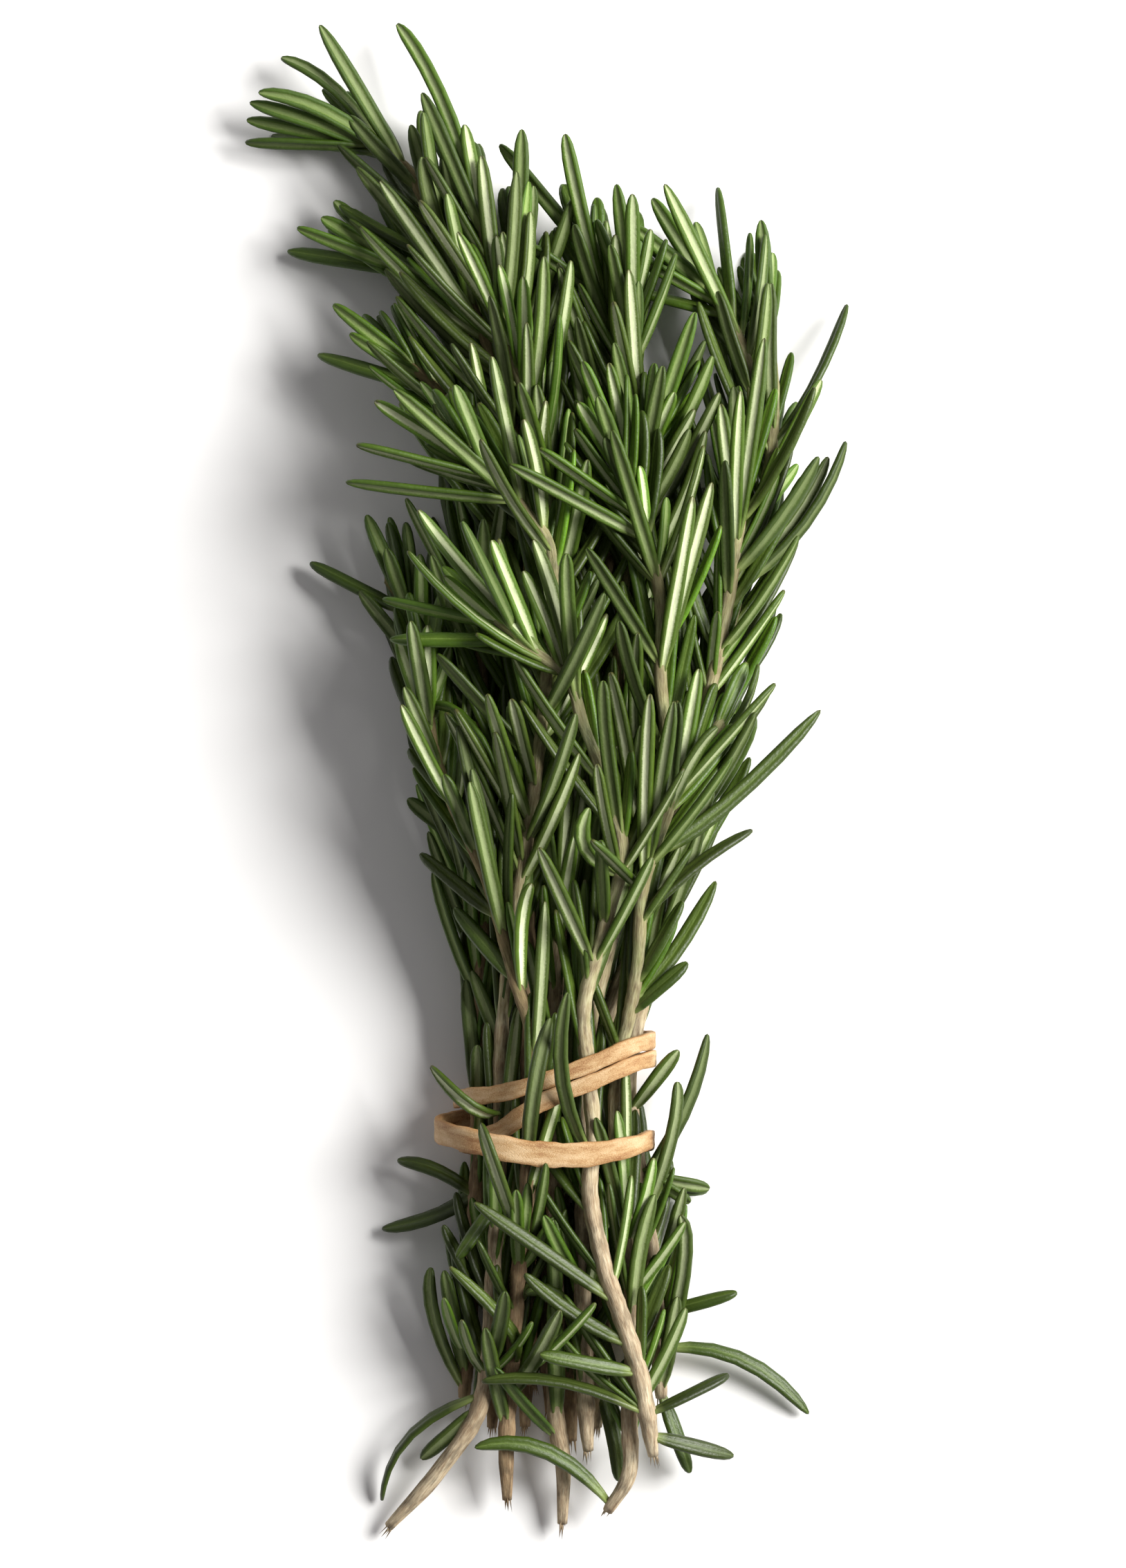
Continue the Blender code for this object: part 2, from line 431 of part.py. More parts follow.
def own_leaf(route, tip, middle, root, lift, roll):
    """A leaf placed by hand, with its tip raised by a lift and its face rolled a little."""
    i = nearest(route, *root)
    start = route[i]
    end = Vector(tip) + Vector((0, 0, lift))
    bow = (start + end) / 2 + Vector((0, 0, OWN_RISE))
    if middle:
        bow.xy = 2 * Vector(middle[:2]) - (start + end).xy / 2
    if middle and len(middle) == 3:
        bow.z = 2 * middle[2] - (start + end).z / 2
    along = direction_at(route, i)
    out = end - start
    out = (out - out.dot(along) * along).normalized()
    face = faces_of_leaf(along, out, max(OWN_LEAST_LEAN, along.angle(end - start)))[1]
    looks_up = face.z > 0.3 or face.z > -0.3 and (start.y < BAND_ZONE[0] or end.z < start.z - 2)
    face = turned_up(face, looks_up, OWN_TURN)
    face = (face + roll * face.cross((end - start).normalized())).normalized()
    return make_leaf(start, bow, end, face, LEAF_WIDTH)


def ruled_leaf(draw, route, i, turn, length, lean, loose):
    """A leaf placed by the rule at a route's point, turned round the stem."""
    along = direction_at(route, i)
    across = along.cross(Vector((0, 0, 1))).normalized()
    up = across.cross(along)
    turn += draw.uniform(-1, 1) * (0.15 + 0.9 * loose)
    lean *= draw.uniform(1 - 0.5 * loose, 1 + 0.3 * loose)
    length *= draw.uniform(0.9 - 0.25 * loose, 1.06)
    out = math.cos(turn) * up + math.sin(turn) * across
    first = faces_of_leaf(along, out, lean * 1.25)[0]
    later, face = faces_of_leaf(along, out, lean * draw.uniform(0.6, 1.0))
    bow = route[i] + 0.5 * length * first
    tip = bow + 0.5 * length * later + draw.uniform(-0.06, 0.06) * length * face.cross(later)
    face = (face + draw.uniform(-RULED_ROLL, RULED_ROLL) * face.cross(later)).normalized()
    face = turned_up(face, face.z > 0, RULED_TURN)
    return make_leaf(route[i], bow, tip, face, LEAF_WIDTH * draw.uniform(0.85, 1.05))


def in_outline(point):
    """True where a point in plan is within the bundle's outline and out of its open places."""
    if any(math.hypot(point.x - x, point.y - y) < radius for x, y, radius in OPEN_PLACES):
        return False
    for (low, left, right), (high, left_2, right_2) in zip(OUTLINE, OUTLINE[1:]):
        if low <= point.y <= high:
            share = (point.y - low) / (high - low)
            return left + share * (left_2 - left) < point.x < right + share * (right_2 - right)
    return False


class Crowd:
    """What already has its place: each solid's box, search tree and owner."""

    def __init__(self):
        self.entries = []

    @staticmethod
    def box(points):
        """The lowest and highest corners round some points."""
        low = [min(p[k] for p in points) for k in range(3)]
        high = [max(p[k] for p in points) for k in range(3)]
        return low, high

    def add(self, owner, kind, solid):
        """Notes a solid that now has its place."""
        self.entries.append((owner, kind, *self.box(solid[0]), BVHTree.FromPolygons(*solid)))

    def is_free(self, owner, leaf):
        """True where the leaf clears every other sprig and the band, and past its root its own sprig."""
        guard = needle_guard(leaf, OTHERS_FROM, CLEARANCE)
        low, high = self.box(guard[0])
        tree = BVHTree.FromPolygons(*guard)
        outer = BVHTree.FromPolygons(*needle_guard(leaf, OWN_FROM, CLEARANCE / 3))
        for other, kind, its_low, its_high, its_tree in self.entries:
            if any(low[k] > its_high[k] or high[k] < its_low[k] for k in range(3)):
                continue
            if other != owner and tree.overlap(its_tree):
                return False
            if other == owner and kind == "leaf" and outer.overlap(its_tree):
                return False
        return True


def leaf_places(draw, route):
    """Nodes along a stem: the route's index, a share of full length and a lean from the stem."""
    last = len(route) - 1
    places = []
    i = FOOT_BARE
    while i < last - 1:
        y = route[round(i)].y
        to_tip = last - i
        if y < BAND_ZONE[0]:
            pitch, share, lean = LOW_PITCH, LOW_SHARE, draw.uniform(*LOW_LEAN)
        elif y < BAND_ZONE[1]:
            pitch, share, lean = BAND_PITCH, 1.0, draw.uniform(*BAND_LEAN)
        else:
            pitch = TIP_PITCH if to_tip < TIP_REACH else HIGH_PITCH
            share = TIP_SHARE + (1 - TIP_SHARE) * min(1.0, to_tip / SHARE_REACH)
            lean = TIP_LEAN + (FULL_LEAN - TIP_LEAN) * min(1.0, to_tip / LEAN_REACH)
            lean *= min(1.0, 0.3 + 0.7 * (y - BAND_ZONE[1]) / OPENING)
        if y > FIRST_LEAF_Y:
            places.append((round(i), share, lean))
        i += pitch * draw.uniform(0.85, 1.15)
    places.append((last - 1, LAST_SHARE, LAST_LEAN))
    return places


def keep_first_free(crowd, kept, name, tries):
    """Keeps the first of a sprig's tries for a leaf that has room."""
    for leaf in tries:
        if crowd.is_free(name, leaf):
            kept.append(leaf)
            crowd.add(name, "leaf", needle(leaf))
            return


def ruled_tries(draw, route, i, turn, share, lean):
    """Ever looser tries for one leaf, each within the bundle's outline."""
    for attempt in range(TRIES):
        leaf = ruled_leaf(draw, route, i, turn, LEAF_LENGTH * share, lean, attempt / TRIES)
        if all(in_outline(leaf_point(leaf, t)) for t in (0.6, 1)):
            yield leaf


def left_out(draw, name, y, turn):
    """True for a ruled leaf that would hide a bare stretch of stem, and for some other front leaves."""
    front = math.cos(turn)
    if any(low < y < high for low, high in BARE.get(name, [])) and front > BARE_FRONT:
        return True
    return front > FRONT and draw.random() > FRONT_SHARE


def lay_out():
    """Each sprig's route and leaves, all clear of each other and of the band."""
    routes = {name: smooth_route(points) for name, points in ROUTES.items()}
    leaves = {name: [] for name in ROUTES}
    crowd = Crowd()
    crowd.add("rubber_band", "band", band_solid())
    for name, route in routes.items():
        crowd.add(name, "stem", stem_solid(route))
    draw = random.Random(SEED)
    for name, chosen in OWN_LEAVES.items():
        for places in chosen:
            roll = draw.uniform(-OWN_ROLL, OWN_ROLL)
            tries = (own_leaf(routes[name], *places, lift, roll) for lift in LIFTS)
            keep_first_free(crowd, leaves[name], name, tries)
    for name, route in routes.items():
        first_turn = draw.uniform(0, math.pi)
        for k, (i, share, lean) in enumerate(leaf_places(draw, route)):
            for opposite in (0, math.pi):
                turn = first_turn + k * math.pi / 2 + opposite
                if left_out(draw, name, route[i].y, turn):
                    continue
                keep_first_free(crowd, leaves[name], name, ruled_tries(draw, route, i, turn, share, lean))
    return routes, leaves


def band_solid():
    """The closed strip: a flat section that follows the band's middle line and faces outwards."""
    knots = [Vector(p) for p in BAND_POINTS]
    count = len(knots)
    line = []
    for i in range(count):
        for k in range(BAND_RINGS_PER_SPAN):
            around = [knots[(i + j - 1) % count] for j in range(4)]
            line.append(spline_point(*around, k / BAND_RINGS_PER_SPAN))
    rings = []
    for i, here in enumerate(line):
        ahead, behind = line[(i + 1) % len(line)], line[i - 1]
        middle = Vector(here[:3])
        middle.z = max(middle.z, BAND_THICKNESS / 2)
        along = Vector(ahead[:3]) - Vector(behind[:3])
        if middle.z < BAND_THICKNESS / 2 + 0.001:
            along.z = 0
        along.normalize()
        outward = along.cross(Vector((0, 1, 0))).normalized()
        radial = Vector((middle.x - BAND_CENTRE[0], 0, middle.z - BAND_CENTRE[1]))
        if outward.dot(radial) < 0:
            outward = -outward
        side = along.cross(outward)
        wide, thick = here[3] / 2, BAND_THICKNESS / 2
        rings.append([middle + a * wide * side + b * thick * outward
                      for a, b in ((1, 1), (-1, 1), (-1, -1), (1, -1))])
    points = [p for ring in rings for p in ring]
    faces = []
    for r in range(len(rings)):
        for k in range(4):
            a, b = r * 4 + k, r * 4 + (k + 1) % 4
            c, d = (r + 1) % len(rings) * 4 + (k + 1) % 4, (r + 1) % len(rings) * 4 + k
            faces.append((a, b, c, d))
    return points, faces


def add_object(name, solid, collection, material=None):
    """An object in metres from a solid in millimetres, with its faces turned out."""
    points, faces = solid
    mesh = bpy.data.meshes.new(name)
    mesh.from_pydata([tuple(p * MM) for p in points], [], faces)
    shape = bmesh.new()
    shape.from_mesh(mesh)
    bmesh.ops.recalc_face_normals(shape, faces=shape.faces)
    shape.to_mesh(mesh)
    shape.free()
    if material:
        mesh.materials.append(material)
    thing = bpy.data.objects.new(name, mesh)
    collection.objects.link(thing)
    return thing


def pieces_of(shape):
    """The faces of each skin, as lists. Two skins that share only a doubled edge count apart."""
    left = set(shape.faces)
    pieces = []
    while left:
        grown = [left.pop()]
        for face in grown:
            for edge in face.edges:
                if len(edge.link_faces) != 2:
                    continue
                for other in edge.link_faces:
                    if other in left:
                        left.remove(other)
                        grown.append(other)
        pieces.append(grown)
    return pieces


def fuse_needles(stem, solids, holder):
    """Joins needles to their stem as one body, without loose scraps or sealed hollows."""
    for k, solid in enumerate(solids):
        add_object(f"{stem.name}_needle_{k}", solid, holder)
    join = stem.modifiers.new("join", "BOOLEAN")
    join.operation = "UNION"
    join.operand_type = "COLLECTION"
    join.collection = holder
    bpy.context.view_layer.update()
    joined = bpy.data.meshes.new_from_object(stem.evaluated_get(bpy.context.evaluated_depsgraph_get()))
    stem.modifiers.clear()
    for thing in list(holder.objects):
        bpy.data.objects.remove(thing, do_unlink=True)
    shape = bmesh.new()
    shape.from_mesh(joined)
    bmesh.ops.triangulate(shape, faces=shape.faces)
    bmesh.ops.remove_doubles(shape, verts=shape.verts, dist=WELD)
    bmesh.ops.dissolve_degenerate(shape, edges=shape.edges, dist=WELD)
    pieces = sorted(pieces_of(shape), key=len)
    scraps = [face for piece in pieces[:-1] for face in piece]
    bmesh.ops.delete(shape, geom=scraps, context="FACES")
    bmesh.ops.triangulate(shape, faces=shape.faces)
    shape.to_mesh(stem.data)
    shape.free()
    bpy.data.meshes.remove(joined)


def new_collection(name):
    """A collection in the scene."""
    collection = bpy.data.collections.new(name)
    bpy.context.scene.collection.children.link(collection)
    return collection


def main():
    """Builds each sprig and the band."""
    remove_everything()
    parts = new_collection(COLLECTION)
    green = make_material("needle_green")
    tan = make_material("band_tan")
    holder = new_collection("needles_to_join")
    routes, leaves = lay_out()
    for name, route in routes.items():
        stem = add_object(name, stem_solid(route), parts, green)
        fuse_needles(stem, [needle(leaf) for leaf in leaves[name]], holder)
    add_object("rubber_band", band_solid(), parts, tan)
    bpy.data.collections.remove(holder)


if __name__ == "__main__":
    main()
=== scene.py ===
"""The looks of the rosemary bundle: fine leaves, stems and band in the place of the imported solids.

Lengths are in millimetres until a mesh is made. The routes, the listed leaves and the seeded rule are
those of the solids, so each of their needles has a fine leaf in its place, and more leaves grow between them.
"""

import json
import math
import random

import bpy
import numpy as np
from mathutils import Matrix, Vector
from mathutils.bvhtree import BVHTree

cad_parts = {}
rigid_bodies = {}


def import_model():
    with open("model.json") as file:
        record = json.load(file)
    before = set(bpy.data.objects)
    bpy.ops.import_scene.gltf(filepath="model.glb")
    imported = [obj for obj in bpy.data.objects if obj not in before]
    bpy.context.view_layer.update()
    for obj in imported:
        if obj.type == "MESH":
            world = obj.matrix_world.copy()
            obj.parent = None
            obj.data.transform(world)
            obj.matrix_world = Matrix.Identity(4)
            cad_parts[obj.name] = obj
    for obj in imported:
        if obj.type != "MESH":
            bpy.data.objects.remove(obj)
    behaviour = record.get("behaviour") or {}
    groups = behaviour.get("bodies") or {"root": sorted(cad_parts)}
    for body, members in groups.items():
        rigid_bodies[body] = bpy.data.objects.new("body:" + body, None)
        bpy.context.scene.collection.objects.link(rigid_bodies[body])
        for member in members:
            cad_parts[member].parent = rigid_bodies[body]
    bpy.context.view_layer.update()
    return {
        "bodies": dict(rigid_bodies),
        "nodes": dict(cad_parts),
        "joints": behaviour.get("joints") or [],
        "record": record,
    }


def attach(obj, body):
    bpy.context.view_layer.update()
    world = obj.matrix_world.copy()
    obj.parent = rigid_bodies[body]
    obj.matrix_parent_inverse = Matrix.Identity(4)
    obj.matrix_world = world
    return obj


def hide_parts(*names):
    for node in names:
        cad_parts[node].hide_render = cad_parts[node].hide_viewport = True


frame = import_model()

MM = 0.001

# Stems. A route has a point every millimetre, and only some of them carry a ring of the solid.
STEM_SIDES = 5
STEM_FOOT_RADIUS = 1.2
STEM_TIP_RADIUS = 0.7
CUT_SHARE = 0.6
CUT_REACH = 0.05
ROUTE_STEP = 1.0
RING_LEAST = 3
RING_MOST = 15
RING_TURN = math.radians(11)

# Leaves. The belly is the widest place, as a share of the way from root to tip. A share of the thickness is
# under the middle line.
LEAF_LENGTH = 23.0
LEAF_WIDTH = 2.3
LEAF_THICKNESS = 1.1
LEAF_BELLY = 0.5
UNDER_SHARE = 0.4

# Room between a leaf and other sprigs, and the shares of its length past which it keeps that room
# to them, and a third of it to the leaves of its own sprig.
CLEARANCE = 0.3
OTHERS_FROM = 0.12
OWN_FROM = 0.24

# Where pairs of leaves grow: their spacing below the band, above it, and near the tip.
FOOT_BARE = 6.0
FIRST_LEAF_Y = -92.0
BAND_ZONE = (-57.0, -31.0)
LOW_PITCH = 4.5
BAND_PITCH = 5.0
HIGH_PITCH = 3.0
TIP_PITCH = 1.9
TIP_REACH = 12.0
PITCH_SPREAD = (0.85, 1.15)

# How far leaves lean from the stem, and how their length falls off towards the tip. Past the band they open
# from a share of their lean to all of it.
LOW_LEAN = (0.12, 0.75)
LOW_SHARE = 0.85
BAND_LEAN = (0.03, 0.14)
TIP_LEAN = math.radians(15)
FULL_LEAN = math.radians(30)
LEAN_REACH = 22.0
OPENING = 30.0
OPENING_SHARE = 0.3
TIP_SHARE = 0.5
SHARE_REACH = 25.0
LAST_SHARE = 0.45
LAST_LEAN = 0.15

# Stretches of stem that show bare, as y from and to for each sprig. No ruled leaf whose turn from straight up
# has a cosine over BARE_FRONT grows there. Of the other ruled leaves over FRONT, half are left out.
BARE = {"sprig_02": [(-96, -33), (-12, 12)], "sprig_04": [(-36, -12)], "sprig_12": [(2, 27)],
        "sprig_05": [(10, 36)], "sprig_03": [(-30, -18), (2, 10)], "sprig_01": [(-90, -84), (-4, 6)]}
BARE_FRONT = -0.2
FRONT = 0.5
FRONT_SHARE = 0.5

# Tries for a free place. A listed leaf has its tip raised or lowered until it is clear, and
# its middle always stands a little above the straight line from root to tip.
TRIES = 22
LIFTS = (0, 1, -1, 2, -2, 3, -3, 4.5, 6, -5)
OWN_RISE = 1.5
OWN_LEAST_LEAN = 0.3
OWN_TURN = 1.0
OWN_ROLL = 0.5
OWN_FACE_UP = 0.3
OWN_HANGS = 2
SEED = 41

# A ruled leaf: its roll and turn up, its lean near the root and further out, a sideways bend and its width.
# Then how far it strays in turn, lean and length, at first and with looser tries. Its middle line has to be
# within the outline at some shares.
RULED_ROLL = 0.7
RULED_TURN = 0.45
ROOT_LEAN = 1.25
OUTER_LEAN = (0.6, 1.0)
SIDE_BEND = 0.06
WIDTH_SPREAD = (0.85, 1.05)
TURN_STRAY = 0.15
LOOSE_TURN = 0.9
LOOSE_LEAN = (0.5, 0.3)
LENGTH_SPREAD = (0.9, 1.06)
LOOSE_SHORTER = 0.25
OUTLINE_SHARES = (0.6, 1)

BAND_THICKNESS = 1.1
BAND_RINGS_PER_SPAN = 2
BAND_CENTRE = (0.5, 9.2)

# The fine leaf. Its outline is half its width, as a share of the full half width, along its length. Its edge
# waves a little, and it twists about a place on its length.
LEAF_OUTLINE = [(0.02, 0.42), (0.08, 0.6), (0.18, 0.86), (0.32, 0.99), (0.48, 1.0), (0.64, 1.0),
                (0.78, 0.95), (0.89, 0.8), (0.955, 0.55), (0.99, 0.27)]
# Half of the leaf's section: across as a share of half the width, height in millimetres, and how far round
# it is from the groove of the upper face, at 0, past the rolled margin at 0.5 to the midrib below, at 1.
LEAF_SECTION = [(0.0, 0.2, 0.0), (0.3, 0.44, 0.14), (0.74, 0.38, 0.32), (1.0, 0.0, 0.5),
                (0.86, -0.4, 0.62), (0.52, -0.48, 0.71), (0.33, -0.26, 0.79), (0.0, -0.2, 1.0)]
LEAF_TWIST = 0.5
TWIST_PLACE = 0.4
EDGE_WAVE = 0.035
EDGE_WAVES = 9
GRAIN_SPREAD = 900
# Where a leaf's edge wave starts, how a stem's grooves are turned and where its splinters stand.
RANDOM_TURN = (0, 6.28)

# More leaves between those of the solids: short shoots in the axils and younger leaves between pairs. They
# keep less room, measured with one more ring at the shoulder, and fewer grow in front of the front sprigs.
EXTRA_SEED = 7
EXTRA_TRIES = 10
EXTRA_ROUND = 3
EXTRA_ROOM = 0.1
EXTRA_START = 0.05
EXTRA_OTHERS_FROM = 0.16
EXTRA_OWN_FROM = 0.3
LEAF_SHOULDER = 0.88
EXTRA_PITCH = 2.4
EXTRA_LOW_PITCH = 3.0
EXTRA_UNEVEN = (0.8, 1.2)
EXTRA_SHARE = (0.55, 0.95)
EXTRA_TIP_SHARE = 0.6
EXTRA_LEAN = (0.14, 0.5)
EXTRA_LOW_LEAN = (0.1, 0.8)
EXTRA_SLIM = 0.72
EXTRA_BROADER = 0.25
EXTRA_MOST = 1300
EXTRA_LESS = ("sprig_01", "sprig_02", "sprig_03", "sprig_04", "sprig_05", "sprig_06", "sprig_07")
EXTRA_FRONT = 0.1

# How fresh a leaf is, from 0 to 1. Those of the solids are fresher near the growing tip.
FRESH = 0.3
TIP_FRESH = 0.45
TIP_FRESH_REACH = 22
TIP_FRESH_FALL = 1.5
EXTRA_FRESH = (0.15, 1.0)

# Leaves are darker deep in the bundle, painted shade where the sprigs shade each other: the heights of its
# deep and shallow leaves, and a deep one's tone.
DEEP_SHADE_HEIGHT = 8.0
UNSHADED_HEIGHT = 20.0
DEEP_SHADE_TONE = 0.35

# How pale each bare stem is. The others are dark.
STEM_PALENESS = {"sprig_01": 0.8, "sprig_02": 1.0, "sprig_04": 0.85, "sprig_05": 0.95, "sprig_06": 0.8,
                 "sprig_12": 0.8, "sprig_16": 0.65}
STEM_DARKEST = 0.15

# Fine stems: sides, how slim they are between nodes and how much a node swells, and grooves that turn slowly
# along the stem. The wood at the cut is smaller than the bark and lies deeper.
FINE_SIDES = 12
NODE_WAIST = 0.97
NODE_SWELL = 0.16
NODE_REACH = 1.3
GROOVES = 4
GROOVE_DEPTH = 0.05
GROOVE_TURN = 0.02
WOOD_SHARE = 0.75
WOOD_DEPTH = 0.15

# Splinters at a cut end: how many, their radius, how far they stand out and away, and where they start.
SPLINTERS = 6
SPLINTER_RADIUS = (0.12, 0.32)
SPLINTER_REACH = (0.4, 2.2)
SPLINTER_AWAY = (-0.2, 0.7)
SPLINTER_RING = 0.55
SPLINTER_ROOT = 0.6
SPLINTER_ANGLES = (0, 2.1, 4.2)
SPLINTER_FACES = ((0, 1, 3), (1, 2, 3), (2, 0, 3), (2, 1, 0))
SPLINTER_GRAIN = 50

# The fine band: rings in each span of its points, small changes of its width along its run, and its rounded
# section in shares of half its width and half its thickness.
FINE_BAND_RINGS = 6
BAND_WAVES = ((0.05, 1.1, 0), (0.03, 2.7, 1))
BAND_SECTION = [(1.0, 0.6), (0.96, 0.93), (0.6, 1.03), (0.0, 0.93), (-0.6, 1.03), (-0.96, 0.93), (-1.0, 0.6),
                (-1.0, -0.4), (-0.9, -0.9), (-0.4, -1.0), (0.4, -1.0), (0.9, -0.9), (1.0, -0.4)]

# Colours that lie over others: leaf wool, leaf foot and dry leaf tip, dark bark, bark at a node, wood at the
# cut, and painted shade at the band's edges. Then the table and the sky.
WOOL = (0.64, 0.68, 0.45)
LEAF_FOOT = (0.34, 0.42, 0.13)
DRY_TIP = (0.1, 0.075, 0.03)
DARK_BARK = (0.42, 0.33, 0.24)
NODE_BARK = (0.3, 0.2, 0.11)
CUT_WOOD = (0.6, 0.5, 0.33)
# Painted shade at the band's edges.
BAND_EDGE_SHADE = (0.45, 0.2, 0.06)
TABLE_COLOUR = (0.93, 0.925, 0.92)
TABLE_REACH = 3.0
SKY_COLOUR = (1.0, 0.97, 0.99, 1)
SKY_STRENGTH = 0.2

# Lights, as place and size in metres, watts and colour.
LIGHTS = {"key": ((1.23, 0.46, 1.18), 0.85, 61.0, (1.0, 0.99, 0.97)),
          "fill": ((-0.9, 0.9, 1.3), 1.2, 1.2, (1.0, 0.99, 1.0))}

# The camera looks straight down. What it sees is as wide and long as the photo, at 10.5 pixels a millimetre.
CAMERA_PLACE = (2.29, -0.38, 1218.0)
CAMERA_LENS = 200.0
CAMERA_SENSOR = 36.0
CAMERA_CLIP = 20

# Stem routes from the cut end to the growing tip. The names run from the front of the bundle to its back.
ROUTES = {
    "sprig_01": [
        (-22, -104, 2.2), (-15, -96, 5.5), (-9, -86, 8), (-7.5, -70, 10.5), (-6.5, -52, 11.4),
        (-6.3, -36, 11.6), (-4.5, -20, 14.5), (-1.5, 0, 19), (0.3, 18, 22), (0.8, 31, 23.5),
        (-3.2, 37.5, 25), (-7.5, 42, 25.5), (-10.5, 45.5, 25.5)],
    "sprig_02": [
        (14.8, -93.5, 11), (13.5, -85, 12.5), (12, -79, 13.5), (10, -73, 14.5), (8, -67, 15.2),
        (6, -57, 15.6), (6.5, -49, 15.4), (5.8, -40, 15.6), (5.2, -31, 16.6), (8, -20, 18.8),
        (10.5, -10, 20.5), (8, 0, 21.5), (5, 8, 22.5), (3, 14, 23.4), (-2, 18, 24.4), (-7, 22, 24.4)],
    "sprig_03": [
        (-5.5, -100, 5), (-5.5, -90, 7), (-4, -70, 11), (-2.5, -52, 14), (-1.8, -37, 15), (-5, -25, 16.5),
        (-8, -14, 17), (-12.5, -4, 17), (-15.5, 4, 16.5), (-16.5, 12, 15.5), (-17, 17, 15)],
    "sprig_04": [
        (8.5, -101.5, 6), (11.5, -96, 8), (11.5, -88, 9), (12, -75, 10.5), (10.8, -60, 11.5), (9.5, -50, 12),
        (9.8, -40, 12.6), (11.3, -33, 14), (12.6, -25, 16.5), (13.2, -15, 18.5), (15, -9, 19.5),
        (18, -1, 19.5), (21.5, 4, 18.5), (24, 8, 17.5)],
    "sprig_05": [
        (16, -86, 3.5), (15, -70, 5), (12.5, -52, 7), (11.6, -40, 7.6), (15, -24, 9), (20, -5, 10.5),
        (24, 14, 12), (25.5, 22, 12.5), (27, 28, 13), (28.5, 35, 12.5), (30, 40, 11.3), (31.2, 46, 9.8),
        (31.6, 55, 7.2), (30.2, 66, 4)],
    "sprig_06": [
        (7, -90, 4.2), (8, -72, 5), (7, -52, 6.8), (7, -38, 7.4), (13, -20, 11), (20, 2, 14.5),
        (24.5, 22, 16.5), (27.2, 40, 15), (28.6, 52, 12), (27.2, 60, 10.5), (23.5, 67, 9), (21, 70.5, 8)],
    "sprig_07": [
        (-2, -84, 6), (-2.5, -70, 7), (-2.6, -55, 10.8), (-2.8, -38, 11.2), (-2.6, -20, 11.6),
        (-2.2, 0, 12.5), (-2, 20, 14.5), (-2.6, 36, 15), (-5, 50, 14.5), (-8, 60, 12.5), (-11, 67, 11),
        (-15, 76, 9), (-19, 84.5, 7), (-24, 88.3, 5.5), (-27, 89.3, 5)],
    "sprig_08": [
        (-11.5, -86, 3), (-10.5, -70, 4.5), (-9.5, -52, 6.5), (-9.6, -38, 7.2), (-9, -20, 8.5), (-9, 0, 9),
        (-9, 20, 9), (-8.5, 40, 9.5), (-9, 54, 9.5), (-12.5, 64, 8), (-17, 69.5, 7), (-22, 73, 6)],
    "sprig_09": [
        (-3, -90, 3), (-3, -75, 3), (-3.8, -55, 3.8), (-3.8, -38, 4.1), (-3, -15, 5), (-2, 10, 6.5),
        (-2.5, 35, 7), (-3, 55, 7.5), (-3.8, 70, 8), (-3.8, 79, 8)],
    "sprig_10": [
        (3.5, -92, 3), (3, -75, 3.2), (1.8, -55, 3.8), (1.8, -38, 4.1), (4.5, -15, 5.5), (7, 10, 8),
        (9, 35, 9.5), (10, 50, 10), (8.5, 64, 10), (5, 76, 9.5)],
    "sprig_11": [
        (13, -84, 3.2), (11, -70, 4), (7.6, -52, 4.1), (7.6, -38, 4.1), (10, -20, 6.5), (12.5, 0, 9.5),
        (14, 20, 12.5), (13.5, 40, 14), (12.4, 55, 14), (11.8, 69, 13)],
    "sprig_12": [
        (5.8, -93, 7.5), (5.5, -88, 8.5), (5, -70, 10), (5.2, -52, 11.2), (5.2, -38, 11.3), (9.5, -20, 14.5),
        (14, -5, 16), (16.5, 4, 17.5), (15.7, 14, 19.5), (15.5, 26, 21), (12.5, 37, 22), (10, 45, 22)],
    "sprig_13": [
        (-6, -84, 3), (-6.8, -70, 3.2), (-7.9, -52, 3.9), (-7.9, -38, 4.1), (-10.5, -18, 5), (-13, 0, 6),
        (-16, 14, 6.5), (-19.5, 24, 7), (-22, 28, 7)],
    "sprig_14": [
        (-7.6, -90, 4.4), (-6.6, -72, 6.6), (-4.8, -52, 7.3), (-4.5, -38, 7.4), (-4.8, -20, 8.8),
        (-4.9, 0, 10.5), (-5, 20, 12), (-6.2, 36, 14), (-11, 48, 15), (-16, 55, 14), (-19.5, 58, 13)],
    "sprig_15": [
        (0.5, -88, 3), (0.2, -72, 5.4), (1.4, -52, 7.3), (1.4, -38, 7.4), (5, -18, 10), (9.5, 0, 12.5),
        (10, 20, 14.5), (12.3, 38, 17), (14.5, 47, 17.5), (15.6, 51, 17)],
    "sprig_16": [
        (2.2, -103.5, 3), (2.3, -95, 5), (1.2, -87, 6.5), (1.3, -70, 9.3), (0.9, -52, 10.9),
        (0.8, -36, 11.2), (2, -15, 12.8), (2.2, 5, 13.8), (1.8, 22, 15), (0.5, 38, 16.5), (-2, 50, 17.5),
        (-5, 60, 17.5), (-7.5, 70, 15.5), (-9.5, 80, 13), (-11.5, 87, 10.5)],
}

